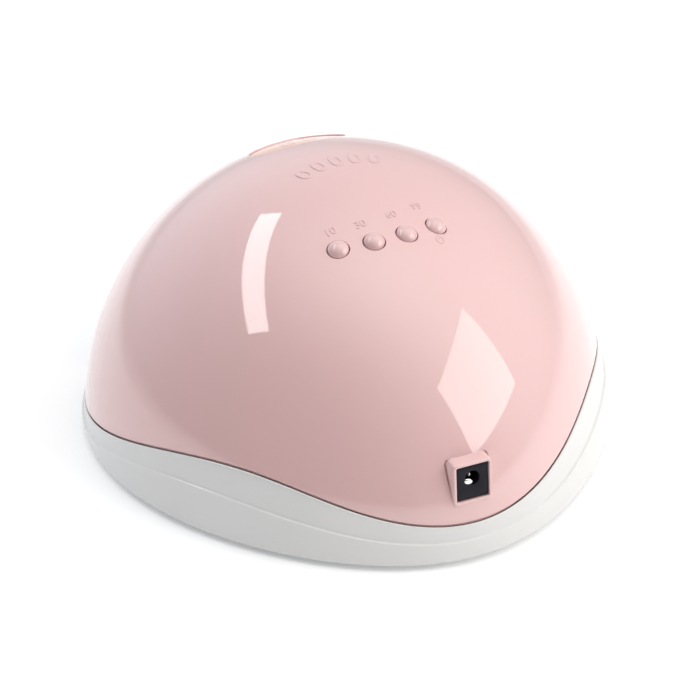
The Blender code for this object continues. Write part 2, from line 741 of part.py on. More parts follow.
def main():
    for old in list(bpy.data.objects):
        bpy.data.objects.remove(old)
    window, jack = surface_frame(0.0, WINDOW_Y), jack_frame()
    buttons = button_frames()
    board = surface_frame(0.0, BUTTON_Y)
    switches = []
    for frame in buttons:
        down = frame @ Vector((0, 0, -drop_to(frame, board, PLUNGER_DEPTH)))
        along = board.inverted() @ down
        switches.append(board @ Matrix.Translation((along.x, along.y, 0)))
    leds = led_frames()
    sensor = liner_frame(math.pi, SENSOR_Z)

    make_lower_housing()
    make_top_shell(buttons, board, window, jack)
    make_inner_liner(leds, sensor)
    make_front_bezel()
    make_base_tray()
    make_tray_fittings()
    make_screws()
    make_display(window)
    make_board(board, switches)
    make_buttons(buttons, board, switches)
    make_jack(jack)
    make_leds(leds)
    make_sensor(sensor)
    make_power_lead()


main()
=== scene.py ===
"""Looks of the dome-shaped UV LED nail lamp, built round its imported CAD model.

Numbers are millimetres and turn into metres where a mesh is made. +Z is up, the hand opening faces -Y and
the power jack faces +Y. The driving dimensions repeat the CAD model's, but gaps and edge rounds are finer.
"""

import math
import bmesh
import bpy
import numpy as np
from mathutils import Matrix, Vector
from mathutils.geometry import delaunay_2d_cdt


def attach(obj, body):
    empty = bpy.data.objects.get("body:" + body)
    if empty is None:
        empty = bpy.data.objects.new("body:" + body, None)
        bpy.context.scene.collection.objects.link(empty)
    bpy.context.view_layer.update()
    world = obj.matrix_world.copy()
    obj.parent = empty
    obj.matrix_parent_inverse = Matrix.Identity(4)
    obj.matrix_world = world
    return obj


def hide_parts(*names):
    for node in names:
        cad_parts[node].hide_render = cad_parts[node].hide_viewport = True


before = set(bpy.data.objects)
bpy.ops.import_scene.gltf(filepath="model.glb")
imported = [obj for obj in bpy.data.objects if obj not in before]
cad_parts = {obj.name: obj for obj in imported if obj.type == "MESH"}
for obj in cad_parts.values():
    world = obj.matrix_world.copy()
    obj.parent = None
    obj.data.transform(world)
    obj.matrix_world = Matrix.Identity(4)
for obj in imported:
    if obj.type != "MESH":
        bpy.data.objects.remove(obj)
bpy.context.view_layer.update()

MM = 0.001

# Outer dome.
HALF_WIDTH = 102.0
HALF_LENGTH = 107.5
HEIGHT = 106.0
EGG_TAPER = 0.08
EGG_SQUARENESS = 0.10
FRONT_LEAN = 9.0
BOTTOM_Z = 2.0
SHELL_WALL = 2.0

# Lower housing.
EDGE_WAVE = {"rear": 16.0, "crest": 31.0, "front": 9.0, "crest_deg": 52.0, "front_deg": 122.0}
RIDGE_WAVE = {"rear": 10.0, "crest": 19.5, "front": 4.4, "crest_deg": 60.0, "front_deg": 118.0}
PARTING_GAP = 0.5
LOWER_PROUD = 1.3
UPPER_PROUD = 0.45
RIDGE_ROUNDS = (0.5, 0.65)
RIDGE_SLOPE_DEG = 75.0
HOUSING_WALL = 2.4
PLATE_Z = (5.3, 7.9)

# Liner, hand opening and tray.
LINER_INSET = 17.0
LINER_WALL = 1.6
LINER_TOP = 74.0
LINER_POWER = 2.3
ARCH_HALF_WIDTH = 75.0
ARCH_HEIGHT = 52.0
ARCH_POWER = 2.6
BEZEL_WALL = 2.4
BEZEL_PROUD = 0.6
TRAY_Z = (2.0, 5.0)
TRAY_INSET = 3.1
SILL_PROUD = 0.5
FINGER_PITCH = 23.0
FOOT_PLACES = ((58.0, 62.0), (-58.0, 62.0), (-58.0, -66.0), (58.0, -66.0))
POST_INSET = 10.8
POST_ANGLES = (40.0, 100.0, -100.0, -40.0)
MAGNET_INSET = 9.5
MAGNET_RADIUS = 4.5
MAGNET_ANGLE = 72.0

# Buttons, window and jack.
BUTTON_PITCH = 13.5
BUTTON_Y = 31.5
BUTTON_ARC = 2.8
BUTTON_RADIUS = 3.97
BUTTON_CROWN = 2.3
BUTTON_HOLE = (4.38, 4.07)
BUTTON_HOLE_FILLET = 0.3
BUTTON_HOLE_TURN_DEG = -25.0
WINDOW_Y = -52.0
WINDOW_SIZE = (39.0, 19.0)
WINDOW_POWER = 2.4
WINDOW_SINK = 0.55
JACK_SIZE = (12.7, 13.8)
JACK_CENTRE_Y = 102.2
JACK_CENTRE_Z = 32.0
JACK_TILT_DEG = 5.0
JACK_BORE_RADIUS = 2.9
JACK_BORE_RISE = 1.6
HOOD_RIM = 1.3
HOOD_SWEEP = 0.15
HOOD_GROOVE = 0.75
LED_ROWS = ((22.0, 10, 115.0), (44.0, 8, 105.0), (62.0, 5, 100.0), (72.2, 1, 0.0))
LED_RADIUS = 2.4
SENSOR_Z = 62.0

# Camera: angles in degrees, distance and aim in millimetres.
CAMERA_AZIMUTH = 154.5
CAMERA_ELEVATION = 32.4
CAMERA_ROLL = 0.3
CAMERA_DISTANCE = 1658.0
CAMERA_AIM_SIDE = -1.34
CAMERA_AIM_Z = 30.55
CAMERA_LENS = 221.0

# Studio lights. A panel stands at an azimuth, elevation and distance, faces the lamp, and has a width,
# height and roll. The room adds broad soft glows, each from one direction.
WARM, PLAIN, COOL, SKY = (1.0, 0.985, 0.96), (1.0, 1.0, 1.0), (0.95, 0.97, 1.0), (0.70, 0.82, 1.0)
PANELS = {
    "softbox": {
        "from": (226, 31), "distance": 1300, "size": (1000, 720), "roll": 4, "strength": 3.4, "colour": WARM,
    },
    "strip": {
        "from": (54, 56), "distance": 1280, "size": (1200, 170), "roll": -7, "strength": 5.0, "colour": PLAIN,
    },
}
ROOM_GLOWS = {
    "ceiling": {"from": (0, 90), "tightness": 12, "strength": 1.5, "colour": WARM},
    "rear_right": {"from": (230, 50), "tightness": 10, "strength": 0.7, "colour": PLAIN},
    "front_wall": {"from": (0, 15), "tightness": 8, "strength": 0.9, "colour": COOL},
    "right_wall": {"from": (265, 20), "tightness": 8, "strength": 0.9, "colour": PLAIN},
    "left_window": {"from": (45, 25), "tightness": 12, "strength": 0.6, "colour": SKY},
}
# The floor is painted with a pool of light: white within the first radius, fading to grey by the second, and a
# painted glow of this strength in the same pool.
FLOOR_PAINTED_POOL = (0.40, 0.75)
FLOOR_PAINTED_GLOW = 0.16


# The dome in numpy: the plan outline, a family of domes over it, and the wavy lines


def egg(turn):
    c = np.cos(turn)
    return np.sin(turn) * (1 - EGG_TAPER * c - EGG_SQUARENESS * c * c)


EGG_BREADTH = egg(np.linspace(0, np.pi, 2881)).max()


def outline(turn, offset=0.0):
    """X and Y of the plan at this turn from the rear, this far outside it along its normal."""
    step = 1e-5
    x, y = HALF_WIDTH * egg(turn) / EGG_BREADTH, HALF_LENGTH * np.cos(turn)
    dx = HALF_WIDTH * (egg(turn + step) - egg(turn - step)) / EGG_BREADTH
    dy = HALF_LENGTH * (np.cos(turn + step) - np.cos(turn - step))
    length = np.hypot(dx, dy)
    return x - offset * dy / length, y + offset * dx / length


def ease(part):
    """From 0 to 1 along half a cosine."""
    return (1 - np.cos(np.pi * np.clip(part, 0.0, 1.0))) / 2


def wave(turn, line):
    """The height of a wavy line at this turn: up from the rear to the crest, then down to the front."""
    x, y = outline(turn)
    angle = np.degrees(np.abs(np.arctan2(x, y)))
    up = ease(angle / line["crest_deg"])
    down = ease((angle - line["crest_deg"]) / (line["front_deg"] - line["crest_deg"]))
    return line["rear"] + (line["crest"] - line["rear"]) * up + (line["front"] - line["crest"]) * down


def unit(v):
    return v / np.maximum(np.linalg.norm(v, axis=-1, keepdims=True), 1e-12)


class Dome:
    """One dome of the family. Its flat map (u, v) is polar, with the centre at the top of the dome."""

    def __init__(self, offset=0.0, top=HEIGHT, power=2.0):
        self.offset, self.top, self.power = offset, top, power
        turn = np.linspace(0, np.pi, 2881)
        x, y = outline(turn, offset)
        self.turn, self.angle, self.reach = turn, np.arctan2(x, y), np.hypot(x, y)

    def turn_of(self, angle):
        return np.sign(angle) * np.interp(np.abs(angle), self.angle, self.turn)

    def scale(self, z):
        rise = np.clip((z - BOTTOM_Z) / (self.top - BOTTOM_Z), 0, 1)
        return (1 - rise**self.power) ** (1 / self.power)

    def point(self, turn, z, proud=0.0):
        x, y = outline(turn, self.offset + proud)
        s = self.scale(z)
        return np.stack([x * s, y * s - FRONT_LEAN * z / HEIGHT, z + 0 * x], -1)

    def at(self, uv):
        q, turn = np.hypot(uv[:, 0], uv[:, 1]), np.arctan2(uv[:, 0], uv[:, 1])
        s = np.sin(np.minimum(q, math.pi / 2))
        rise = np.clip(1 - s**self.power, 0, 1) ** (1 / self.power)
        z = BOTTOM_Z + (self.top - BOTTOM_Z) * rise
        x, y = outline(turn, self.offset)
        return np.stack([x * s, y * s - FRONT_LEAN * z / HEIGHT, z], -1)

    def normal(self, uv):
        step = 2e-4
        du = self.at(uv + (step, 0)) - self.at(uv - (step, 0))
        dv = self.at(uv + (0, step)) - self.at(uv - (0, step))
        n = unit(np.cross(du, dv))
        return n * np.sign(n[:, 2:] + 1e-9)

    def uv(self, points):
        """The flat map's coordinates of points on the dome."""
        x, z = points[:, 0], points[:, 2]
        y = points[:, 1] + FRONT_LEAN * z / HEIGHT
        angle = np.arctan2(x, y)
        flat = np.hypot(x, y) / np.interp(np.abs(angle), self.angle, self.reach)
        s = np.where(z > BOTTOM_Z + 0.7 * (self.top - BOTTOM_Z), np.minimum(flat, 1), self.scale(z))
        turn, q = self.turn_of(angle), np.arcsin(s)
        return np.stack([q * np.sin(turn), q * np.cos(turn)], -1)

    def outside(self, points):
        """Positive outside the dome, negative inside it."""
        x, z = points[:, 0], points[:, 2]
        y = points[:, 1] + FRONT_LEAN * z / HEIGHT
        reach = np.interp(np.abs(np.arctan2(x, y)), self.angle, self.reach)
        return np.hypot(x, y) / reach - self.scale(z) + np.maximum(z - self.top, 0)

    def drop(self, points, direction, reach=25.0):
        """Points moved along a direction, back or forth, to where they meet the dome."""
        low, high = np.full(len(points), -reach), np.full(len(points), reach)
        for _ in range(50):
            middle = (low + high) / 2
            outside = self.outside(points + middle[:, None] * direction) > 0
            low, high = np.where(outside, middle, low), np.where(outside, high, middle)
        return points + low[:, None] * direction

    def frame(self, x, y):
        """A 4 x 4 frame over this place: local Z outwards, local X across the lamp."""
        down = np.array([0.0, 0.0, -1.0])
        places = np.array([[x, y], [x + 0.2, y], [x - 0.2, y], [x, y + 0.2], [x, y - 0.2]])
        spots = self.drop(np.column_stack([places, np.full(5, 60.0)]), down, 70.0)
        normal = Vector(np.cross(spots[1] - spots[2], spots[3] - spots[4])).normalized()
        return facing(Vector(spots[0]), normal)


def facing(origin, normal):
    """A matrix at origin with local Z along normal and local X as near world X as it can be."""
    across = Vector((1, 0, 0)) if abs(normal.x) < 0.9 else Vector((0, -math.copysign(1, normal.x), 0))
    side = (across - normal * across.dot(normal)).normalized()
    turned = Matrix((side, normal.cross(side), normal)).transposed()
    return Matrix.Translation(origin) @ turned.to_4x4()


def moved(matrix, points):
    m = np.array(matrix)
    return np.asarray(points, float) @ m[:3, :3].T + m[:3, 3]


OUTER = Dome()
LINER = Dome(-LINER_INSET, LINER_TOP, LINER_POWER)
LINER_FACE = Dome(-LINER_INSET - LINER_WALL, LINER_TOP - LINER_WALL, LINER_POWER)


# Mesh tools


class Shape:
    """Points, exact normals where they are known, and faces, gathered for one piece."""

    def __init__(self):
        self.points, self.normals, self.faces, self.paints = [], [], [], []
        self.count = 0

    def add(self, points, normals=None):
        points = np.asarray(points, float)
        self.points.append(points)
        self.normals.append(np.zeros_like(points) if normals is None else normals)
        self.count += len(points)
        return np.arange(self.count - len(points), self.count)

    def strip(self, a, b, closed=True):
        """Quads between two rows of the same length."""
        ends = range(len(a)) if closed else range(len(a) - 1)
        for i in ends:
            after = (i + 1) % len(a)
            self.faces.append((int(a[i]), int(a[after]), int(b[after]), int(b[i])))

    def rows(self, rows, closed=True):
        for a, b in zip(rows, rows[1:]):
            self.strip(a, b, closed)

    def cap(self, row):
        """A fan from a middle point, for a round end."""
        middle = np.concatenate(self.points)[row].mean(0)
        centre = int(self.add([middle])[0])
        self.faces += [(int(row[i]), int(row[(i + 1) % len(row)]), centre) for i in range(len(row))]

    def painted(self, slot):
        """Gives the faces that have no paint yet this material slot."""
        self.paints += [slot] * (len(self.faces) - len(self.paints))

    def turned(self, profile, matrix, sides=48):
        """A profile of (radius, height) pairs turned about the local Z axis, and capped at both ends."""
        a = 2 * np.pi * np.arange(sides) / sides
        rows = [
            self.add(moved(matrix, np.column_stack([r * np.cos(a), r * np.sin(a), np.full(sides, h)])))
            for r, h in profile
        ]
        self.rows(rows)
        self.cap(rows[0])
        self.cap(rows[-1])

    def block(self, width, depth, low, high, corner, edge, matrix):
        """A rectangular block with round corners and rounded top and bottom edges."""
        rows = []
        for height, inset in rounded_ends(low, high, edge):
            flat = rounded_rectangle(width - 2 * inset, depth - 2 * inset, max(corner - inset, 0.02))
            rows.append(self.add(moved(matrix, np.column_stack([flat, np.full(len(flat), height)]))))
        self.rows(rows)
        self.cap(rows[0])
        self.cap(rows[-1])

    def piece(self, name, material, body, replaces=(), slot=None):
        """The object. A list of materials goes with the slots that painted() gave."""
        points = np.concatenate(self.points) * MM
        mesh = bpy.data.meshes.new(name)
        mesh.from_pydata(points.tolist(), [], self.faces)
        shape = bmesh.new()
        shape.from_mesh(mesh)
        bmesh.ops.recalc_face_normals(shape, faces=shape.faces)
        shape.to_mesh(mesh)
        shape.free()
        self.painted(0)
        mesh.polygons.foreach_set("material_index", self.paints)
        mesh.shade_smooth()
        normals = np.concatenate(self.normals)
        if np.any(normals):
            mesh.normals_split_custom_set_from_vertices(normals.tolist())
        else:
            mesh.set_sharp_from_angle(angle=math.radians(40))
        return settle(bpy.data.objects.new(name, mesh), material, body, replaces)


def settle(piece, material, body, replaces=()):
    """Links a piece, gives it its material, and says what it rides on and stands for."""
    if piece.name not in bpy.context.scene.collection.objects:
        bpy.context.scene.collection.objects.link(piece)
    paints = piece.data.materials
    if not len(paints):
        for one in material if isinstance(material, list) else [material]:
            paints.append(one)
    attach(piece, body)
    if replaces:
        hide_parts(*replaces)
    return piece


def rounded_ends(low, high, edge, steps=4):
    """(height, inset) pairs up the side of a block whose edges have this radius."""
    arc = [math.pi / 2 * i / steps for i in range(steps + 1)]
    start = [(low + edge * (1 - math.sin(a)), edge * (1 - math.cos(a))) for a in reversed(arc)]
    end = [(high - edge * (1 - math.sin(a)), edge * (1 - math.cos(a))) for a in arc]
    return start + end


def rounded_rectangle(width, depth, corner, corner_steps=6, side_steps=10):
    """Points round a rectangle, anticlockwise: an arc at each corner, and points along each side."""
    points = []
    for quarter, (sx, sy) in enumerate(((1, 1), (-1, 1), (-1, -1), (1, -1))):
        centre = np.array([sx * (width / 2 - corner), sy * (depth / 2 - corner)])
        for i in range(corner_steps + 1):
            angle = math.pi / 2 * (quarter + i / corner_steps)
            points.append(centre + corner * np.array([math.cos(angle), math.sin(angle)]))
        after = (quarter + 1) % 4
        tx, ty = ((1, 1), (-1, 1), (-1, -1), (1, -1))[after]
        start = math.pi / 2 * after
        target = np.array([tx * (width / 2 - corner), ty * (depth / 2 - corner)])
        target = target + corner * np.array([math.cos(start), math.sin(start)])
        last = points[-1]
        points += [last + (target - last) * k / side_steps for k in range(1, side_steps)]
    return np.array(points)


def circle(radius, sides=48, centre=(0.0, 0.0)):
    a = 2 * np.pi * np.arange(sides) / sides
    return np.column_stack([radius * np.cos(a), radius * np.sin(a)]) + centre


def squared_oval(width, depth, power=WINDOW_POWER, count=160):
    a = 2 * np.pi * np.arange(4000) / 4000
    c, s = np.cos(a), np.sin(a)
    x = np.sign(c) * np.abs(c) ** (2 / power) * width / 2
    y = np.sign(s) * np.abs(s) ** (2 / power) * depth / 2
    length = np.concatenate([[0], np.cumsum(np.hypot(np.diff(x), np.diff(y)))])
    even = np.linspace(0, length[-1], count, endpoint=False)
    return np.column_stack([np.interp(even, length, x), np.interp(even, length, y)])


def inside(loop, points):
    """Which points lie inside a closed loop, by crossing count."""
    x, y = points[:, :1], points[:, 1:]
    x0, y0 = loop[:, 0], loop[:, 1]
    x1, y1 = np.roll(x0, -1), np.roll(y0, -1)
    cross = (y0 > y) != (y1 > y)
    with np.errstate(divide="ignore", invalid="ignore"):
        at = x0 + (y - y0) * (x1 - x0) / (y1 - y0)
    return (np.sum(cross & (x < at), axis=1) % 2).astype(bool)


def tiled(loops, spacing):
    """Points and triangles of a flat region bounded by its first loop, with the others as holes."""
    edge = np.concatenate(loops)
    low, high = loops[0].min(0), loops[0].max(0)
    rows = np.arange(low[1], high[1], spacing * 0.866)
    columns = np.arange(low[0], high[0], spacing)
    grid = np.array([(x + (k % 2) * spacing / 2, y) for k, y in enumerate(rows) for x in columns])
    keep = inside(loops[0], grid)
    for loop in loops[1:]:
        keep &= ~inside(loop, grid)
    grid = grid[keep]
    near = np.array([((edge - p) ** 2).sum(1).min() for p in grid])
    grid = grid[near > (0.55 * spacing) ** 2]
    points = np.concatenate([edge, grid])
    ends, first = [], 0
    for loop in loops:
        n = len(loop)
        ends += [(first + i, first + (i + 1) % n) for i in range(n)]
        first += n
    out = delaunay_2d_cdt([Vector(p) for p in points.tolist()], ends, [], 0, 1e-9)
    source = [ids[0] if ids else -1 for ids in out[3]]
    faces = np.array([[source[i] for i in face] for face in out[2]])
    middle = points[faces].mean(1)
    keep = inside(loops[0], middle) & (faces >= 0).all(1)
    for loop in loops[1:]:
        keep &= ~inside(loop, middle)
    return points, faces[keep]


def edge_rows(shape, row, points, normals, wall, fillet, hole):
    """Rows that round an edge of a sheet and carry it down to the far face. Returns the last row."""
    along = unit(np.roll(points, -1, 0) - np.roll(points, 1, 0))
    away = unit(np.cross(along, normals)) * (-1.0 if hole else 1.0)
    rows = [row]
    arc = np.linspace(0, math.pi / 2, 6)
    for a in arc[1:]:
        step = away * fillet * math.sin(a) - normals * fillet * (1 - math.cos(a))
        rows.append(shape.add(points + step))
    for a in arc[::-1][1:]:
        step = away * fillet * math.sin(a) - normals * (wall - fillet * (1 - math.cos(a)))
        if a > 0:
            rows.append(shape.add(points + step))
    shape.rows(rows)
    return rows[-1]


def anticlockwise(loop):
    x, y = loop[:, 0], loop[:, 1]
    area = np.sum(x * np.roll(y, -1) - y * np.roll(x, -1))
    return loop if area > 0 else loop[::-1]


def sheet(shape, loops, surface, wall, fillet, spacing, left_open=0):
    """A sheet with rounded edges along its loops, the first of them the outer one.

    surface(flat) gives the near points, their normals and the far points. The last few loops can be left open
    for the caller, who gets their rows on both faces. The fillet is one radius, or one for each loop.
    """
    loops = [anticlockwise(loop) for loop in loops]
    fillets = fillet if isinstance(fillet, list) else [fillet] * len(loops)
    flat, faces = tiled(loops, spacing)
    near, normals, far = surface(flat)
    top, under = shape.add(near, normals), shape.add(far, -normals)
    shape.faces += [tuple(int(top[i]) for i in face) for face in faces]
    shape.faces += [tuple(int(under[i]) for i in face[::-1]) for face in faces]
    first, left = 0, []
    for k, loop in enumerate(loops):
        ids = np.arange(first, first + len(loop))
        first += len(loop)
        if k >= len(loops) - left_open:
            left.append((top[ids], under[ids], near[ids]))
            continue
        last = edge_rows(shape, top[ids], near[ids], normals[ids], wall, fillets[k], hole=k > 0)
        shape.strip(last, under[ids])
    return left


def shell(shape, dome, loops, wall, fillet, spacing, left_open=0):
    """A sheet of this wall under a dome. Its loops are points on the dome."""

    def surface(flat):
        near, normals = dome.at(flat), dome.normal(flat)
        return near, normals, near - normals * wall

    return sheet(shape, [dome.uv(loop) for loop in loops], surface, wall, fillet, spacing, left_open)


def slab(shape, loops, low, high, fillet, spacing, dip=None):
    """A flat plate between two heights. dip(flat) lowers its upper face."""

    def surface(flat):
        fall = dip if dip else lambda spots: np.zeros(len(spots))
        e = 0.05
        dx = (fall(flat + (e, 0)) - fall(flat - (e, 0))) / (2 * e)
        dy = (fall(flat + (0, e)) - fall(flat - (0, e))) / (2 * e)
        near = np.column_stack([flat, high - fall(flat)])
        normal = unit(np.column_stack([dx, dy, np.ones(len(flat))]))
        return near, normal, np.column_stack([flat, np.full(len(flat), low)])

    sheet(shape, loops, surface, high - low, fillet, spacing)


# Outlines on the domes


def front_turn(dome, x, z, proud=0.0):
    """The turn at the front where this dome at height z is |x| wide."""
    low, high = np.full(len(x), math.radians(95)), np.full(len(x), math.pi)
    for _ in range(50):
        middle = (low + high) / 2
        wide = dome.point(middle, z, proud)[:, 0] > np.abs(x)
        low, high = np.where(wide, middle, low), np.where(wide, high, middle)
    return np.sign(x) * low


def arch_line(grow, foot, count=140):
    """X and Z along the hand opening's arch, from +X over the top to -X, starting at the height foot."""
    half, height = ARCH_HALF_WIDTH + grow, ARCH_HEIGHT + grow
    s = np.linspace(0, np.pi, 4001)
    c, n = np.cos(s), np.sin(s)
    x = np.sign(c) * np.abs(c) ** (2 / ARCH_POWER) * half
    z = BOTTOM_Z + np.maximum(n, 0) ** (2 / ARCH_POWER) * height
    x, z = x[z >= foot], z[z >= foot]
    length = np.concatenate([[0], np.cumsum(np.hypot(np.diff(x), np.diff(z)))])
    even = np.linspace(0, length[-1], count)
    return np.interp(even, length, x), np.interp(even, length, z)


def eased(points, corners, width, rounds):
    """Smooths a closed line of points near its sharp corners."""
    points = points.copy()
    n = len(points)
    near = np.zeros(n, bool)
    for corner in corners:
        near[[(corner + k) % n for k in range(-width, width + 1)]] = True
    for _ in range(rounds):
        middle = (np.roll(points, 1, 0) + 2 * points + np.roll(points, -1, 0)) / 4
        points[near] = middle[near]
    return points


def rim_line(dome, low, grow, rear_count=420, arch_count=150):
    """A dome's lower edge: low(turn) round the sides and rear, and the hand opening's arch at the front."""
    corner = math.radians(132)
    foot = float(low(np.array([corner]))[0])
    x, z = arch_line(grow, foot, arch_count)
    turn = front_turn(dome, x, z)
    front = dome.point(turn, z)
    sides = np.linspace(-abs(turn[-1]), abs(turn[0]), rear_count)[1:-1]
    rear = dome.point(sides, low(sides))
    return eased(np.concatenate([front, rear]), (0, arch_count - 1), 4, 6)


# Materials


def nodes_of(name):
    material = bpy.data.materials.new(name)
    material.use_nodes = True
    tree = material.node_tree
    return material, tree, tree.nodes["Principled BSDF"]


def noise(tree, scale, detail=3.0, roughness=0.5):
    where = tree.nodes.new("ShaderNodeTexCoord")
    texture = tree.nodes.new("ShaderNodeTexNoise")
    texture.inputs["Scale"].default_value = scale
    texture.inputs["Detail"].default_value = detail
    texture.inputs["Roughness"].default_value = roughness
    tree.links.new(where.outputs["Object"], texture.inputs["Vector"])
    return texture.outputs["Fac"]


def ramp(tree, value, low, high, start=0.0, end=1.0):
    """Maps value from start..end to the range low..high."""
    node = tree.nodes.new("ShaderNodeMapRange")
    node.inputs["From Min"].default_value = start
    node.inputs["From Max"].default_value = end
    node.inputs["To Min"].default_value = low
    node.inputs["To Max"].default_value = high
    tree.links.new(value, node.inputs["Value"])
    return node.outputs["Result"]


def tinted(tree, value, dark, light):
    """A colour between two, by value."""
    node = tree.nodes.new("ShaderNodeMix")
    node.data_type = "RGBA"
    node.inputs["A"].default_value = (*dark, 1)
    node.inputs["B"].default_value = (*light, 1)
    tree.links.new(value, node.inputs["Factor"])
    return node.outputs["Result"]


def bumped(tree, shader, height, strength, distance):
    node = tree.nodes.new("ShaderNodeBump")
    node.inputs["Strength"].default_value = strength
    node.inputs["Distance"].default_value = distance
    tree.links.new(height, node.inputs["Height"])
    tree.links.new(node.outputs["Normal"], shader.inputs["Normal"])


def moulded(name, dark, light, rough, ior=1.49, grain=420.0, peel=0.03, subsurface=0.0, coat=0.0):
    """Moulded plastic: faint colour drift, uneven gloss with fine wear, and a trace of orange peel."""
    material, tree, shader = nodes_of(name)
    drift = ramp(tree, noise(tree, 14.0), 0, 1, 0.3, 0.7)
    tree.links.new(tinted(tree, drift, dark, light), shader.inputs["Base Color"])
    gloss = ramp(tree, noise(tree, 60.0, 6.0, 0.65), rough[0], rough[1], 0.3, 0.75)
    tree.links.new(gloss, shader.inputs["Roughness"])
    shader.inputs["IOR"].default_value = ior
    shader.inputs["Subsurface Weight"].default_value = subsurface
    shader.inputs["Subsurface Radius"].default_value = (1.0, 0.55, 0.45)
    shader.inputs["Subsurface Scale"].default_value = 0.002
    shader.inputs["Coat Weight"].default_value = coat
    shader.inputs["Coat Roughness"].default_value = 0.03
    bumped(tree, shader, noise(tree, grain, 2.0), peel, 0.0002)
    return material


def metal(name, colour, rough):
    material, tree, shader = nodes_of(name)
    dark = tuple(c * 0.85 for c in colour)
    tree.links.new(tinted(tree, noise(tree, 900.0), dark, colour), shader.inputs["Base Color"])
    tree.links.new(ramp(tree, noise(tree, 1500.0, 4.0), rough[0], rough[1]), shader.inputs["Roughness"])
    shader.inputs["Metallic"].default_value = 1.0
    bumped(tree, shader, noise(tree, 2500.0, 2.0), 0.05, 0.0001)
    return material


PINKS = (0.79, 0.52, 0.51), (0.81, 0.535, 0.525)
PINK = moulded("pink_shell", *PINKS, (0.04, 0.07), subsurface=0.05, coat=1.0)
PINK_CAP = moulded("pink_button", *PINKS, (0.04, 0.07), subsurface=0.05, coat=1.0)
WHITE = moulded("white_housing", (0.75, 0.745, 0.735), (0.78, 0.775, 0.765), (0.10, 0.16), grain=700.0)
LINER_WHITE = moulded("white_reflector", (0.84, 0.84, 0.85), (0.88, 0.88, 0.88), (0.14, 0.22), grain=500.0)
TRAY_WHITE = moulded("white_tray", (0.80, 0.79, 0.77), (0.83, 0.82, 0.80), (0.25, 0.28), grain=1200.0)
BLACKS = (0.004, 0.004, 0.008), (0.008, 0.008, 0.014)
BLACK = moulded("black_plastic", *BLACKS, (0.28, 0.42), ior=1.3, grain=2500.0, peel=0.1)
RUBBER = moulded("foot_rubber", (0.55, 0.54, 0.52), (0.62, 0.61, 0.59), (0.6, 0.8), grain=2500.0, peel=0.25)
NICKEL = metal("nickel_plate", (0.78, 0.77, 0.74), (0.16, 0.30))
BRIGHT = metal("bright_contact", (0.95, 0.94, 0.92), (0.08, 0.16))
PANE = moulded("display_pane", (0.88, 0.56, 0.46), (0.91, 0.59, 0.49), (0.03, 0.06), peel=0.01)
SEGMENT = moulded("unlit_segment", (0.62, 0.36, 0.32), (0.66, 0.39, 0.35), (0.05, 0.08), peel=0.01)
CERAMIC = moulded("led_base", (0.80, 0.80, 0.78), (0.86, 0.86, 0.84), (0.3, 0.45), grain=2500.0)
PHOSPHOR = moulded("led_chip", (0.72, 0.58, 0.10), (0.82, 0.68, 0.16), (0.35, 0.5), grain=3000.0)
BOARD = moulded("solder_mask", (0.02, 0.14, 0.05), (0.03, 0.20, 0.08), (0.25, 0.4), grain=1500.0)
LEADS = (0.015, 0.015, 0.018), (0.03, 0.03, 0.035)
LEAD = moulded("lead_jacket", *LEADS, (0.4, 0.55), grain=2500.0, peel=0.1)


def make_lens_material():
    material, tree, shader = nodes_of("led_lens")
    clear = tinted(tree, noise(tree, 900.0), (0.95, 0.93, 0.80), (1.0, 0.98, 0.88))
    tree.links.new(clear, shader.inputs["Base Color"])
    tree.links.new(ramp(tree, noise(tree, 1500.0, 4.0), 0.02, 0.07), shader.inputs["Roughness"])
    shader.inputs["Transmission Weight"].default_value = 0.85
    shader.inputs["IOR"].default_value = 1.45
    bumped(tree, shader, noise(tree, 900.0, 2.0), 0.03, 0.0001)
    return material


LENS = make_lens_material()


# Pieces


def jack_frame():
    """The jack's face centre: local Z out of the socket, local Y up the face."""
    tilt = math.radians(JACK_TILT_DEG)
    normal = Vector((0, math.cos(tilt), math.sin(tilt)))
    up = Vector((0, -math.sin(tilt), math.cos(tilt)))
    turned = Matrix((up.cross(normal), up, normal)).transposed()
    return Matrix.Translation((0, JACK_CENTRE_Y, JACK_CENTRE_Z)) @ turned.to_4x4()


def on_dome(dome, frame_, flat):
    """Points of a local flat outline, dropped on the dome along the frame's own axis."""
    points = moved(frame_, np.column_stack([flat[:, :2], np.zeros(len(flat))]))
    return dome.drop(points, -np.array(frame_.col[2].to_3d()), 12.0)


JACK = jack_frame()
WINDOW = OUTER.frame(0.0, WINDOW_Y)
BUTTONS = [
    OUTER.frame((1.5 - i) * BUTTON_PITCH, BUTTON_Y - (BUTTON_ARC if i in (0, 3) else 0.0)) for i in range(4)
]


def hood_outline(grow, steps=10):
    width, height = (side + 0.6 + 2 * HOOD_RIM + 2 * grow for side in JACK_SIZE)
    return rounded_rectangle(width, height, max(1.8 + grow, 0.3), 6, steps)


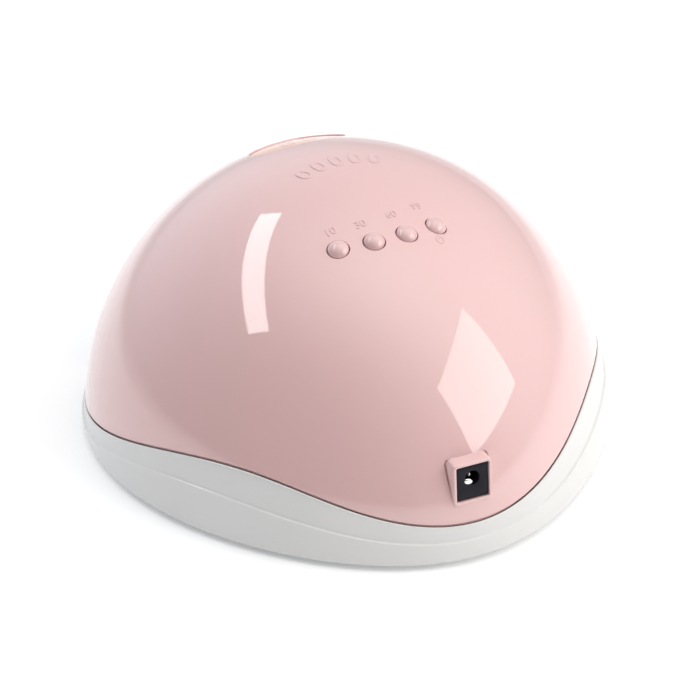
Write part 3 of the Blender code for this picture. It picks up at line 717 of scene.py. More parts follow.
def make_top_shell():
    """The glossy dome: one sheet with rounded edges, and the hood that stands out of it round the jack."""
    fillet = 0.3
    shape = Shape()
    rise = PARTING_GAP + fillet
    rim = rim_line(OUTER, lambda turn: wave(turn, EDGE_WAVE) + rise, BEZEL_WALL + 0.3 + fillet)
    window = squared_oval(WINDOW_SIZE[0] + 0.6 + 2 * fillet, WINDOW_SIZE[1] + 0.6 + 2 * fillet)

    out = np.array(JACK.col[2].to_3d())
    front, draft = 0.5, 0.06
    flat = hood_outline(0.0)
    edge = moved(JACK, np.column_stack([flat, np.full(len(flat), front)]))
    ground = OUTER.drop(edge, -out, 12.0)
    tall = np.maximum(((edge - ground) * out).sum(1), 0.05)
    sweep = np.clip(0.3 * tall, 0.1, HOOD_SWEEP)
    sideways = unit(np.roll(flat, -1, 0) - np.roll(flat, 1, 0))[:, ::-1] * (1, -1)
    beside = np.clip(np.abs(sideways[:, 0]) * 1.6 - 0.6, 0, 1) * np.clip((flat[:, 1] + 6.0) / 9.0, 0, 1)
    groove = HOOD_GROOVE * beside
    foot = flat + sideways * (sweep + draft * tall + groove)[:, None]
    foot = OUTER.drop(moved(JACK, np.column_stack([foot, np.full(len(foot), front)])), -out, 12.0)
    crease = flat + sideways * (draft * tall)[:, None]
    crease = OUTER.drop(moved(JACK, np.column_stack([crease, np.full(len(foot), front)])), -out, 12.0)
    crease = crease - out * groove[:, None] * 2.4
    hole = circle(1.0, 64) * (BUTTON_HOLE[0] + BUTTON_HOLE_FILLET, BUTTON_HOLE[1] + BUTTON_HOLE_FILLET)
    swing = math.radians(BUTTON_HOLE_TURN_DEG)
    hole = hole @ np.array([[math.cos(swing), math.sin(swing)], [-math.sin(swing), math.cos(swing)]])
    holes = [on_dome(OUTER, button, hole) for button in BUTTONS]
    loops = [rim, on_dome(OUTER, WINDOW, window), *holes, foot]
    fillets = [fillet, fillet, *[BUTTON_HOLE_FILLET] * len(holes), fillet]
    (top, under, near), = shell(shape, OUTER, loops, SHELL_WALL, fillets, 0.024, 1)

    # The flat map may turn the loop round, so the hood's rows follow the sheet's own order.
    order = [int(np.argmin(((foot - p) ** 2).sum(1))) for p in near]
    flat, edge, tall, sweep, foot, crease = (a[order] for a in (flat, edge, tall, sweep, foot, crease))
    inward = -sideways[order]
    rows = [top]
    share = np.clip(sweep / tall, 0, 1)[:, None]
    rise = crease + (edge - crease) * share
    for t in np.linspace(0, 1, 6)[1:]:
        rows.append(shape.add((1 - t) ** 2 * foot + 2 * t * (1 - t) * crease + t**2 * rise))
    lip = np.minimum(0.6, 0.5 * tall)
    for a in np.linspace(0, math.pi / 2, 6):
        inset = flat + inward * (lip * (1 - math.cos(a)))[:, None]
        rows.append(shape.add(moved(JACK, np.column_stack([inset, front - lip * (1 - math.sin(a))]))))
    pocket_rows = ((0.0, 0.42), (0.03, 0.26), (0.1, 0.13), (0.2, 0.05), (0.38, 0.0), (5.5, 0.0))
    for depth, grow in pocket_rows:
        pocket = hood_outline(grow - HOOD_RIM)[order]
        rows.append(shape.add(moved(JACK, np.column_stack([pocket, np.full(len(pocket), front - depth)]))))
    shape.rows(rows)
    shape.strip(rows[-1], under)
    for angle in POST_ANGLES:
        x, y = place_at(angle, POST_INSET - 3.5)
        above = OUTER.drop(np.array([[x, y, 50.0]]), np.array([0.0, 0.0, -1.0]), 60.0)[0, 2] - SHELL_WALL
        x, y = place_at(angle, POST_INSET)
        post = (1.8, 9.5), (2.0, 8.2), (2.8, 8.2), (3.0, 8.5), (3.1, above - 1)
        shape.turned(post, Matrix.Translation((x, y, 0)), 32)
    shape.piece("top_shell_gloss", PINK, "lamp", ["top_shell"], "pink_gloss")


def make_tongue():
    """The thin lip of the top shell behind the housing's edge, seen in the parting line."""
    shape = Shape()
    end = math.radians(126)
    turn = np.linspace(-end, end, 420)
    edge = wave(turn, EDGE_WAVE)
    section = ((-1.0, 1.4), (-1.0, -0.55), (-1.1, -0.65), (-1.5, -0.65), (-1.6, -0.55), (-1.6, 1.4))
    rows = [shape.add(OUTER.point(turn, edge + rise, offset)) for offset, rise in section]
    shape.rows([*rows, rows[0]], closed=False)
    for side in (0, -1):
        shape.faces.append(tuple(int(row[side]) for row in rows))
    shape.piece("top_shell_tongue", PINK, "lamp", slot="pink_gloss")


def place_at(angle_deg, inset):
    """X and Y this far inside the outline, at this angle from the rear."""
    x, y = outline(OUTER.turn_of(np.array([math.radians(angle_deg)])), -inset)
    return float(x[0]), float(y[0])


def make_lower_housing():
    """The white ring: rounded lower lip, stepped ridge and rounded upper edge, open at the front."""
    count = 560
    wall = UPPER_PROUD - HOUSING_WALL
    cut = BEZEL_WALL + 0.3

    def profile(turn):
        """Rows of (offset, height) up the outer face, over the top and down the inside."""
        ridge, edge = wave(turn, RIDGE_WAVE), wave(turn, EDGE_WAVE) - 0.2
        one = np.ones_like(turn)
        rows = []
        for a in np.linspace(0, math.pi / 2, 7):
            rows.append((LOWER_PROUD - 1.6 * (1 - math.sin(a)) * one, BOTTOM_Z + 1.6 * (1 - math.cos(a)) * one))
        low = BOTTOM_Z + 1.6
        outer, inner = RIDGE_ROUNDS
        for share in (0.3, 0.6, 0.85):
            rows.append((LOWER_PROUD * one, low + (ridge - outer - low) * share))
        slope = math.radians(RIDGE_SLOPE_DEG)
        for a in np.linspace(0, slope, 7):
            rows.append((LOWER_PROUD - outer * (1 - math.cos(a)) * one, ridge - outer * (1 - math.sin(a))))
        hollow = UPPER_PROUD + inner, ridge - outer * (1 - math.sin(slope)) + inner * math.sin(slope)
        for a in np.linspace(slope, 0, 7)[1:]:
            rows.append((hollow[0] - inner * math.cos(a) * one, hollow[1] - inner * math.sin(a)))
        for share in (0.3, 0.6, 0.85):
            rows.append((UPPER_PROUD * one, hollow[1] + (edge - 0.4 - hollow[1]) * share))
        for a in np.linspace(0, math.pi / 2, 6):
            rows.append((UPPER_PROUD - 0.4 * (1 - math.cos(a)) * one, edge - 0.4 * (1 - math.sin(a))))
        rows += [((UPPER_PROUD - 0.9) * one, edge - 0.3), ((wall + 1.2) * one, edge - 0.9)]
        rows += [((wall + 0.4) * one, np.maximum(edge - 1.6, PLATE_Z[1] + 0.1))]
        rows += [(wall * one, edge - 2.2), (wall * one, PLATE_Z[1] * one)]
        rows += [(wall * one, PLATE_Z[0] * one), ((wall - 0.8) * one, (PLATE_Z[0] - 0.2) * one)]
        rows += [((wall - 0.8) * one, (BOTTOM_Z + 0.3) * one), ((wall - 0.5) * one, BOTTOM_Z * one)]
        return rows

    ends = np.full(len(profile(np.zeros(1))), math.radians(132))
    for _ in range(12):
        for k, end in enumerate(ends):
            offset, z = (float(v[0]) for v in profile(np.array([end]))[k])
            reach = float(arch_half(z, cut))
            ends[k] = abs(float(front_turn(OUTER, np.array([reach]), np.array([z]), offset)[0]))
    shape, rows = Shape(), []
    for k, end in enumerate(ends):
        turn = np.linspace(-end, end, count)
        offset, z = profile(turn)[k]
        rows.append(shape.add(OUTER.point(turn, z, offset)))
    rows.append(rows[0])
    shape.rows(rows, closed=False)
    for side in (0, -1):
        shape.faces.append(tuple(int(row[side]) for row in rows[:-1]))
    low, high = PLATE_Z
    middle = (low + high) / 2
    loop = []
    for offset, flip in ((wall, 1), (0.3 - LINER_INSET, -1)):
        end = float(front_turn(OUTER, np.array([ARCH_HALF_WIDTH + cut]), np.array([middle]), offset)[0])
        loop.append(OUTER.point(np.linspace(-end, end, 240)[::flip], middle, offset)[:, :2])
    holes = [circle(3.5, 32, place_at(angle, POST_INSET)) for angle in POST_ANGLES]
    for side in (1, -1):
        holes.append(circle(MAGNET_RADIUS + 0.5, 40, place_at(side * MAGNET_ANGLE, MAGNET_INSET)))
    slab(shape, [np.concatenate(loop), *holes], low, high, 0.2, 3.0)
    shape.piece("lower_housing_skirt", WHITE, "lamp", ["lower_housing"], "white_satin")


def arch_half(z, grow):
    """Half the hand opening's width at this height."""
    rise = np.clip((z - BOTTOM_Z) / (ARCH_HEIGHT + grow), 0, 1)
    return (ARCH_HALF_WIDTH + grow) * (1 - rise**ARCH_POWER) ** (1 / ARCH_POWER)


def make_buttons():
    rise = BUTTON_CROWN - 0.15
    ball = (BUTTON_RADIUS**2 + rise**2) / (2 * rise)
    slope = math.asin(BUTTON_RADIUS / ball)
    leans = np.linspace(0.02, 0.95 * slope, 18)
    arc = [(ball * math.sin(a), BUTTON_CROWN - ball * (1 - math.cos(a))) for a in leans]
    arc += [(BUTTON_RADIUS - 0.02, 0.18), (BUTTON_RADIUS, 0.0)]
    skirt = [(BUTTON_RADIUS, -2.5), (5.3, -2.5), (5.3, -3.3), (1.5, -3.3), (1.5, -4.5)]
    for i, place in enumerate(BUTTONS, 1):
        shape = Shape()
        shape.turned(arc + skirt, place, 64)
        shape.piece(f"button_dome_{i}", PINK_CAP, f"button_{i}", [f"button_cap_{i}"], "button_pink")


def make_jack():
    """The socket: a square face with a chamfered bore, a sprung contact at its lower edge, and the pin."""
    shape = Shape()
    rows = []
    low, high = -14.0, -0.2
    for height, inset in ((low, 0.0), (high - 0.25, 0.0), (high - 0.07, 0.07), (high, 0.25)):
        flat = rounded_rectangle(JACK_SIZE[0] - 2 * inset, JACK_SIZE[1] - 2 * inset, 0.8, 6, 10)
        rows.append(shape.add(moved(JACK, np.column_stack([flat, np.full(len(flat), height)]))))
    shape.cap(rows[0])
    angle = np.arctan2(flat[:, 1] - JACK_BORE_RISE, flat[:, 0])
    around = np.column_stack([np.cos(angle), np.sin(angle)])
    floor = high - 10.5
    bore = ((0.30, 0.0), (0.1, 0.06), (0.0, 0.2), (0.0, high - floor), (0.9 - JACK_BORE_RADIUS, high - floor))
    for grow, depth in bore:
        ring = around * (JACK_BORE_RADIUS + grow) + (0.0, JACK_BORE_RISE)
        rows.append(shape.add(moved(JACK, np.column_stack([ring, np.full(len(ring), high - depth)]))))
    shape.rows(rows)
    shape.cap(rows[-1])
    shape.piece("dc_jack_body", BLACK, "lamp", ["dc_jack"], "black_plastic")
    bore_place = JACK @ Matrix.Translation((0, JACK_BORE_RISE, 0))
    pin = [(0.05, -2.5), (0.45, -2.55), (0.8, -2.75), (1.0, -3.1), (1.05, -3.6), (1.05, floor - 1.2)]
    shape = Shape()
    shape.turned(pin, bore_place, 40)
    shape.piece("jack_centre_pin", NICKEL, "lamp", ["dc_jack_pin"], "nickel")
    spring = Shape()
    lean = Matrix.Rotation(math.radians(-16), 4, "Z")
    squash = Matrix.Translation((-1.75, JACK_BORE_RISE - 1.3, high - 0.28)) @ lean
    ball = [(math.sin(a), math.cos(a)) for a in np.linspace(0.05, math.pi - 0.05, 16)]
    spring.turned(ball, JACK @ squash @ Matrix.Diagonal((2.0, 1.15, 0.42, 1)), 40)
    spring.piece("jack_contact_spring", BRIGHT, "lamp")


def make_window():
    """The display window: a glossy pane sunk in the shell, a black ring round it as painted shade of the
    groove, and unlit digits.
    """
    pane = Dome(-WINDOW_SINK, HEIGHT - WINDOW_SINK)
    shape = Shape()
    loop = on_dome(pane, WINDOW, squared_oval(WINDOW_SIZE[0] - 1.2, WINDOW_SIZE[1] - 1.0) + (0.45, 0.0))
    shell(shape, pane, [loop], 1.3, 0.3, 0.012)
    shape.piece("display_pane", PANE, "lamp", ["display_window"], "window_smoke")
    # A black ring in the groove round the pane: painted shade where the pocket's wall falls dark.
    groove_shade_top = Dome(-0.75, HEIGHT - 0.75)
    shape = Shape()
    outer = on_dome(groove_shade_top, WINDOW, squared_oval(WINDOW_SIZE[0] + 0.5, WINDOW_SIZE[1] + 0.5))
    inner = on_dome(groove_shade_top, WINDOW, squared_oval(WINDOW_SIZE[0] - 1.0, WINDOW_SIZE[1] - 0.8) + (0.45, 0.0))
    shell(shape, groove_shade_top, [outer, inner], 0.9, 0.1, 0.02)
    shape.piece("display_groove_shade", BLACK, "lamp")
    shape = Shape()
    for digit in (-1, 1):
        for sx, sy, upright in SEGMENTS:
            across, along = sx * 2.1 + digit * 4.6, sy * 2.25
            half_long, half_wide = (1.85, 0.38)
            hexagon = np.array([(-1, 0), (-0.82, -1), (0.82, -1), (1, 0), (0.82, 1), (-0.82, 1)])
            hexagon = hexagon * (half_long, half_wide)
            hexagon = hexagon[:, ::-1] if upright else hexagon
            flat = hexagon + (across + 0.09 * (sy * 2.25), along)
            top = on_dome(pane, WINDOW, flat) + np.array(WINDOW.col[2].to_3d()) * 0.02
            ids = shape.add(top)
            low = shape.add(top - np.array(WINDOW.col[2].to_3d()) * 0.1)
            shape.strip(ids, low)
            shape.faces += [tuple(int(i) for i in ids), tuple(int(i) for i in low[::-1])]
    shape.piece("display_segments", SEGMENT, "lamp")


SEGMENTS = (
    (0, 2, False), (0, 0, False), (0, -2, False), (-1, 1, True), (1, 1, True), (-1, -1, True), (1, -1, True),
)


def make_liner():
    """The white reflector over the hand, with a round hole for every light."""
    shape = Shape()
    fillet = 0.3
    rim = rim_line(LINER, lambda turn: 0 * turn + PLATE_Z[0] + fillet, 0.4 + fillet, 300, 120)
    holes = [on_dome(LINER, place, circle(LED_RADIUS + 0.3 + fillet, 32)) for place in LEDS]
    holes.append(on_dome(LINER, SENSOR, circle(2.3 + fillet, 32)))
    shell(shape, LINER, [rim, *holes], LINER_WALL, fillet, 0.03)
    shape.piece("liner_reflector", LINER_WHITE, "lamp", ["inner_liner"], "reflector_white")


def liner_place(turn, z):
    """A frame on the liner's inner face: local Z outwards, away from the hand."""
    if LINER_FACE.top - z < 0.5:
        middle = LINER_FACE.point(np.array([turn]), z)[0]
        return facing(Vector((0, middle[1], z)), Vector((0, 0, 1)))
    step = 0.01
    turns = np.array([turn, turn + step, turn - step, turn, turn])
    spots = LINER_FACE.point(turns, np.array([z, z, z, z + step, z - step]))
    normal = Vector(np.cross(spots[3] - spots[4], spots[1] - spots[2])).normalized()
    return facing(Vector(spots[0]), normal)


LEDS = []
for led_z, led_count, led_reach in LED_ROWS:
    for led in range(led_count):
        led_angle = led_reach * (2 * led / (led_count - 1) - 1) if led_count > 1 else 0.0
        LEDS.append(liner_place(float(OUTER.turn_of(np.array([math.radians(led_angle)]))[0]), led_z))
SENSOR = liner_place(math.pi, SENSOR_Z)


def make_leds():
    """Clear lenses over four chips each, on square white bases behind the liner."""
    arc = [(LED_RADIUS * math.sin(a), 0.5 - 1.6 * math.cos(a)) for a in np.linspace(0.04, math.pi / 2, 12)]
    lens = arc + [(LED_RADIUS, 1.6), (LED_RADIUS - 0.2, 1.75)]
    back = LINER_WALL + 0.7
    for i, place in enumerate(LEDS, 1):
        shape = Shape()
        shape.turned(lens, place, 32)
        shape.painted(0)
        shape.turned(((0.1, 1.8), (LED_RADIUS + 0.2, 1.8), (LED_RADIUS + 0.2, back), (0.1, back)), place, 32)
        shape.block(6.2, 6.2, back, back + 1.2, 0.5, 0.15, place)
        shape.painted(1)
        for x, y in ((-0.75, -0.75), (0.75, -0.75), (-0.75, 0.75), (0.75, 0.75)):
            shape.block(1.0, 1.0, 1.2, 1.79, 0.1, 0.05, place @ Matrix.Translation((x, y, 0)))
        shape.painted(2)
        shape.piece(f"led_{i:02d}", [LENS, CERAMIC, PHOSPHOR], "lamp", [f"uv_led_{i:02d}"], "led_lens")
    shape = Shape()
    dome = [(2.0 * math.sin(a), 0.1 - 0.7 * math.cos(a)) for a in np.linspace(0.04, math.pi / 2, 10)]
    shape.turned(dome + [(2.0, 2.6)], SENSOR, 32)
    shape.block(10.0, 6.0, LINER_WALL + 0.6, LINER_WALL + 5.0, 0.8, 0.3, SENSOR)
    shape.piece("sensor_lens", BLACK, "lamp", ["presence_sensor"], "black_plastic")


def make_bezel():
    """The arched frame of the hand opening, from just proud of the dome back to the liner."""
    thin, thick, fillet = 0.4, BEZEL_WALL, 0.6
    foot = TRAY_Z[1] + 0.3

    def front(grow, proud):
        x, z = arch_line(grow, foot, 200)
        return OUTER.point(front_turn(OUTER, x, z, proud), z, proud)

    def back(grow):
        x, z = arch_line(grow, foot, 200)
        return LINER.point(front_turn(LINER, x, z, 0.3), z, 0.3)

    arc = np.linspace(0, math.pi / 2, 7)
    turns = [(fillet * (1 - math.sin(a)), fillet * (1 - math.cos(a))) for a in arc]
    section = [front(thin + rise, BEZEL_PROUD - run) for run, rise in turns]
    section += [front(thick - run, BEZEL_PROUD - rise) for run, rise in turns]
    inner, outer = back(thin), back(thick)
    path = [inner + (section[0] - inner) * t for t in (0.0, 0.3, 0.6, 0.85)] + section
    path += [section[-1] + (outer - section[-1]) * t for t in (0.3, 0.7, 1.0)]
    shape = Shape()
    rows = [shape.add(row) for row in path]
    shape.rows([*rows, rows[0]], closed=False)
    for side in (0, -1):
        shape.faces.append(tuple(int(row[side]) for row in rows))
    shape.piece("opening_bezel", WHITE, "lamp", ["front_bezel"], "white_satin")


def finger_dip(flat):
    """How far the five finger guides fall below the tray's face."""
    fall = np.zeros(len(flat))
    for i in range(-2, 3):
        lean = math.radians(-6.0 * i)
        x, y = (flat - (FINGER_PITCH * i, 6.0 - 5.0 * i * i)).T
        across = x * math.cos(lean) + y * math.sin(lean)
        along = np.hypot(across / 7.5, (y * math.cos(lean) - x * math.sin(lean)) / 24.0)
        share = np.clip((1 - along) / 0.35, 0, 1)
        fall += 1.1 * share * share * (3 - 2 * share) * np.clip(1 - 0.35 * along, 0, 1)
    return fall


def make_tray():
    """The removable floor with finger guides, its feet and its magnets."""
    low, high = TRAY_Z
    middle = (low + high) / 2
    half = ARCH_HALF_WIDTH + BEZEL_WALL - 0.3
    ends = [
        float(front_turn(OUTER, np.array([half]), np.array([middle]), offset)[0])
        for offset in (-TRAY_INSET, SILL_PROUD)
    ]
    rear = OUTER.point(np.linspace(-ends[0], ends[0], 300), middle, -TRAY_INSET)
    front = OUTER.point(np.linspace(ends[1], 2 * math.pi - ends[1], 160), middle, SILL_PROUD)
    spots = [place_at(side * MAGNET_ANGLE, MAGNET_INSET) for side in (1, -1)]
    holes = [circle(MAGNET_RADIUS + 0.5, 40, spot) for spot in spots]
    shape = Shape()
    slab(shape, [np.concatenate([rear, front])[:, :2], *holes], low, high, 0.5, 1.7, finger_dip)
    shape.piece("tray_plate", TRAY_WHITE, "base_tray", ["base_tray"], "white_satin")
    foot = [(0.05, 0.25), (1.6, 0.25), (1.9, 0.0), (4.2, 0.0), (4.4, 0.25), (4.8, 0.25)]
    foot += [(5.0, 0.0), (5.6, 0.0)]
    foot += [(5.9, 0.15), (6.0, 0.5), (6.0, 1.4), (5.8, 1.7), (2.0, 1.7), (2.0, 3.8), (0.05, 3.8)]
    for i, (x, y) in enumerate(FOOT_PLACES, 1):
        shape = Shape()
        shape.turned(foot, Matrix.Translation((x, y, 0)), 48)
        shape.piece(f"foot_pad_{i}", RUBBER, "base_tray", [f"rubber_foot_{i}"], "rubber")
    for side, sign in (("left", 1), ("right", -1)):
        x, y = place_at(sign * MAGNET_ANGLE, MAGNET_INSET)
        for node, body, low, high in (
            (f"tray_magnet_{side}", "base_tray", TRAY_Z[1] - 1.7, TRAY_Z[1] - 0.1),
            (f"housing_magnet_{side}", "lamp", PLATE_Z[0] + 0.1, PLATE_Z[0] + 1.6),
        ):
            edge = [(MAGNET_RADIUS - 0.25, 0.0), (MAGNET_RADIUS - 0.08, 0.08), (MAGNET_RADIUS, 0.25)]
            disc = [(0.05, low)] + [(r, low + h) for r, h in edge]
            disc += [(r, high - h) for r, h in edge[::-1]] + [(0.05, high)]
            shape = Shape()
            shape.turned(disc, Matrix.Translation((x, y, 0)), 48)
            shape.piece(f"{node}_disc", NICKEL, body, [node], "nickel")


def make_screws():
    """Pan-head screws, heads down, with cross recesses."""
    low = PLATE_Z[0] + 0.1
    a = 2 * np.pi * np.arange(96) / 96
    for i, angle in enumerate(POST_ANGLES, 1):
        x, y = place_at(angle, POST_INSET)
        shape, rows = Shape(), []
        for r in (0.02, 0.2, 0.3, 0.36, 0.45, 0.6, 0.8, 1.0, 1.2, 1.35, 1.45, 1.6, 2.0, 2.5, 2.8, 2.95, 3.0):
            across, along = np.abs(r * np.cos(a)), np.abs(r * np.sin(a))
            slot = np.clip((0.42 - np.minimum(across, along)) / 0.12, 0, 1) * np.clip((1.5 - r) / 0.2, 0, 1)
            height = low + 0.5 * (r / 3.0) ** 4 + 0.9 * slot * np.clip(1.2 - 0.5 * r, 0, 1)
            rows.append(shape.add(np.column_stack([r * np.cos(a) + x, r * np.sin(a) + y, height])))
        for r, height in ((3.0, low + 1.2), (1.5, low + 1.2), (1.5, 19.0), (0.6, 21.5)):
            ring = np.column_stack([r * np.cos(a) + x, r * np.sin(a) + y, np.full(96, height)])
            rows.append(shape.add(ring))
        shape.rows(rows)
        shape.cap(rows[0])
        shape.cap(rows[-1])
        shape.piece(f"case_screw_{i}", NICKEL, "lamp", [f"housing_screw_{i}"], "nickel")


def make_marks():
    """Raised marks on the shell: seconds by the buttons, a power sign behind the last, and nail ovals."""
    marks = [("10", 19.6, 20.4), ("30", 8.2, 22.4), ("60", -4.9, 21.6), ("99", -16.7, 18.7)]
    for text, x, y in marks:
        curve = bpy.data.curves.new(f"mark_{text}", "FONT")
        curve.body = text
        curve.size = 4.6
        curve.align_x, curve.align_y = "CENTER", "CENTER"
        curve.extrude = 0.17
        curve.bevel_depth = 0.05
        curve.bevel_resolution = 1
        curve.resolution_u = 6
        holder = bpy.data.objects.new(f"mark_{text}", curve)
        bpy.context.scene.collection.objects.link(holder)
        bpy.context.view_layer.update()
        mesh = bpy.data.meshes.new_from_object(holder.evaluated_get(bpy.context.evaluated_depsgraph_get()))
        bpy.data.objects.remove(holder)
        local = np.array([v.co for v in mesh.vertices])
        raise_marks(mesh, local, x, y)
        mesh.materials.clear()
        settle(bpy.data.objects.new(f"seconds_{text}", mesh), PINK, "lamp")
    shape = Shape()
    for i in range(-2, 3):
        swing = math.radians(-12.0 * i)
        tall = 4.4 - 0.4 * abs(i)
        oval = squared_oval(4.4, 2 * tall, 2.6, 48)
        spot = np.array([math.sin(-swing), math.cos(swing)]) * 36.0 - (0.0, 19.0)
        turned = oval @ np.array([[math.cos(swing), math.sin(swing)], [-math.sin(swing), math.cos(swing)]])
        rows = []
        rim = (1.0, -0.1), (1.0, 0.16), (0.95, 0.28), (0.85, 0.32), (0.75, 0.28), (0.68, 0.14), (0.64, -0.05)
        for grow, height in rim:
            flat = (turned * grow + spot) * (-1, -1)
            rows.append(shape.add(lifted(flat, height)))
        shape.rows(rows)
    shape.piece("nail_ovals", PINK, "lamp", slot="pink_gloss")
    shape = Shape()
    spot = (-18.7, 35.2)
    a = np.radians(np.linspace(125, 415, 40))
    stroke = np.array([[0.0, 0.5], [0.0, 1.2], [0.0, 1.9]])
    sign = [np.column_stack([1.5 * np.cos(a), 1.5 * np.sin(a)]), stroke]
    for line in sign:
        side = np.gradient(line, axis=0)
        side = unit(side[:, ::-1] * (1, -1)) * 0.2
        rows = []
        for across, height in ((-1.0, -0.1), (-1.0, 0.12), (-0.5, 0.2), (0.5, 0.2), (1.0, 0.12), (1.0, -0.1)):
            rows.append(shape.add(lifted((line + side * across) * (-1, -1) + spot, height)))
        shape.rows(rows, closed=False)
        for end in (0, -1):
            shape.faces.append(tuple(int(row[end]) for row in rows))
    shape.piece("power_sign", PINK, "lamp", slot="pink_gloss")


def lifted(flat, height):
    """Points over X and Y places on the dome, this far above it."""
    down = np.array([0.0, 0.0, -1.0])
    spots = OUTER.drop(np.column_stack([flat, np.full(len(flat), 60.0)]), down, 70.0)
    return spots + OUTER.normal(OUTER.uv(spots)) * np.asarray(height).reshape(-1, 1)


def raise_marks(mesh, local, x, y):
    """Lays a flat mesh on the dome about this place, its top towards the hand opening."""
    spots = lifted(local[:, :2] * (-1, -1) + (x, y), local[:, 2])
    mesh.vertices.foreach_set("co", (spots * MM).astype(np.float32).ravel())
    mesh.update()


make_top_shell()
make_tongue()
make_lower_housing()
make_buttons()
make_jack()
make_window()
make_liner()
make_leds()
make_bezel()
make_tray()
make_screws()
make_marks()

INSIDE = (
    ("control_board", BOARD), ("display_module", BLACK), ("tact_switch", BLACK), ("switch_plunger", BLACK),
    ("power_lead", LEAD)
)
for node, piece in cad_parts.items():
    for start, finish in INSIDE:
        if node.startswith(start):
            piece.data.materials.clear()
            piece.data.materials.append(finish)
            bevel = piece.modifiers.new("Bevel", "BEVEL")
            bevel.width, bevel.segments = 0.15 * MM, 2


# Stage


def make_camera():
    azimuth, elevation, roll = (math.radians(a) for a in (CAMERA_AZIMUTH, CAMERA_ELEVATION, CAMERA_ROLL))
    right = Vector((math.cos(azimuth), math.sin(azimuth), 0))
    back = Vector((
        math.sin(azimuth) * math.cos(elevation),
        -math.cos(azimuth) * math.cos(elevation),
        math.sin(elevation),
    ))
    up = back.cross(right)
    across = right * math.cos(roll) + up * math.sin(roll)
    upward = up * math.cos(roll) - right * math.sin(roll)
    aim = Vector((CAMERA_AIM_SIDE * right.x, CAMERA_AIM_SIDE * right.y, CAMERA_AIM_Z))
    data = bpy.data.cameras.new("camera")
    data.lens = CAMERA_LENS
    data.sensor_width = 36.0
    data.clip_start, data.clip_end = 0.05, 60.0
    camera = bpy.data.objects.new("camera", data)
    turned = Matrix((across, upward, back)).transposed().to_4x4()
    camera.matrix_world = Matrix.Translation((aim + back * CAMERA_DISTANCE) * MM) @ turned
    bpy.context.scene.collection.objects.link(camera)
    bpy.context.scene.camera = camera


def make_floor():
    mesh = bpy.data.meshes.new("floor")
    reach = 12.0
    corners = [(x * reach, y * reach, 0) for x, y in ((-1, -1), (1, -1), (1, 1), (-1, 1))]
    mesh.from_pydata(corners, [], [(0, 1, 2, 3)])
    floor = bpy.data.objects.new("floor", mesh)
    material, tree, shader = nodes_of("floor_painted_light_pool")
    where = tree.nodes.new("ShaderNodeTexCoord")
    distance = tree.nodes.new("ShaderNodeVectorMath")
    distance.operation = "LENGTH"
    tree.links.new(where.outputs["Object"], distance.inputs[0])
    # Painted pool of light: near the lamp the floor is white and glows, further out it turns grey.
    pool_light = ramp(tree, distance.outputs["Value"], 1.0, 0.0, *FLOOR_PAINTED_POOL)
    white = tree.nodes.new("ShaderNodeMix")
    white.data_type = "RGBA"
    white.inputs["A"].default_value = (0.70, 0.70, 0.71, 1)
    paper = tinted(tree, noise(tree, 3.0), (0.93, 0.93, 0.93), (0.95, 0.95, 0.95))
    tree.links.new(paper, white.inputs["B"])
    tree.links.new(pool_light, white.inputs["Factor"])
    tree.links.new(white.outputs["Result"], shader.inputs["Base Color"])
    tree.links.new(ramp(tree, pool_light, 0.0, FLOOR_PAINTED_GLOW), shader.inputs["Emission Strength"])
    shader.inputs["Emission Color"].default_value = (0.95, 0.97, 1.0, 1)
    shader.inputs["Roughness"].default_value = 0.7
    mesh.materials.append(material)
    bpy.context.scene.collection.objects.link(floor)


def direction(azimuth, elevation):
    """The unit vector towards these angles in degrees, with azimuth 0 in front of the hand opening."""
    a, e = math.radians(azimuth), math.radians(elevation)
    return Vector((math.sin(a) * math.cos(e), -math.cos(a) * math.cos(e), math.sin(e)))


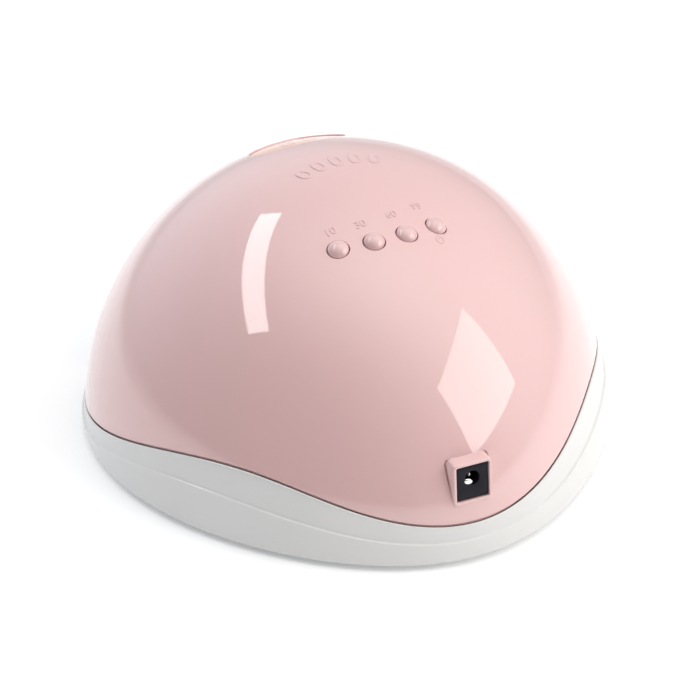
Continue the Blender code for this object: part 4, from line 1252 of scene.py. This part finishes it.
def make_panel(name, light):
    """A flat glowing panel that faces the lamp and that the camera itself does not see."""
    outward = direction(*light["from"])
    side = outward.cross(Vector((0, 0, 1))).normalized()
    rise = side.cross(outward)
    turn = Matrix.Rotation(math.radians(light["roll"]), 3, outward)
    across, upward = turn @ side * light["size"][0] / 2, turn @ rise * light["size"][1] / 2
    middle = outward * light["distance"]
    corners = [middle + across * x + upward * z for x, z in ((-1, -1), (1, -1), (1, 1), (-1, 1))]
    mesh = bpy.data.meshes.new(name)
    mesh.from_pydata([corner * MM for corner in corners], [], [(0, 1, 2, 3)])
    panel = bpy.data.objects.new(name, mesh)
    material = bpy.data.materials.new(name)
    material.use_nodes = True
    tree = material.node_tree
    tree.nodes.clear()
    glow = tree.nodes.new("ShaderNodeEmission")
    glow.inputs["Color"].default_value = (*light["colour"], 1)
    glow.inputs["Strength"].default_value = light["strength"]
    tree.links.new(glow.outputs["Emission"], tree.nodes.new("ShaderNodeOutputMaterial").inputs["Surface"])
    mesh.materials.append(material)
    bpy.context.scene.collection.objects.link(panel)
    panel.visible_camera = False


def make_world():
    """A pale room: broad soft glows from some directions, added up."""
    world = bpy.data.worlds.new("studio")
    world.use_nodes = True
    tree = world.node_tree
    where = tree.nodes.new("ShaderNodeTexCoord")
    total = None
    for glow in ROOM_GLOWS.values():
        dot = tree.nodes.new("ShaderNodeVectorMath")
        dot.operation = "DOT_PRODUCT"
        dot.inputs[1].default_value = direction(*glow["from"])
        tree.links.new(where.outputs["Generated"], dot.inputs[0])
        lobe = tree.nodes.new("ShaderNodeMath")
        lobe.operation = "POWER"
        lobe.inputs[1].default_value = glow["tightness"]
        tree.links.new(ramp(tree, dot.outputs["Value"], 0.0, 1.0, -1.0, 1.0), lobe.inputs[0])
        scaled = tree.nodes.new("ShaderNodeVectorMath")
        scaled.operation = "SCALE"
        scaled.inputs[0].default_value = [c * glow["strength"] for c in glow["colour"]]
        tree.links.new(lobe.outputs["Value"], scaled.inputs["Scale"])
        if total is not None:
            both = tree.nodes.new("ShaderNodeVectorMath")
            tree.links.new(total, both.inputs[0])
            tree.links.new(scaled.outputs["Vector"], both.inputs[1])
            scaled = both
        total = scaled.outputs["Vector"]
    tree.links.new(total, tree.nodes["Background"].inputs["Color"])
    bpy.context.scene.world = world


make_camera()
make_floor()
for panel_name, panel_light in PANELS.items():
    make_panel(panel_name, panel_light)
make_world()
bpy.context.scene.view_settings.view_transform = "Standard"
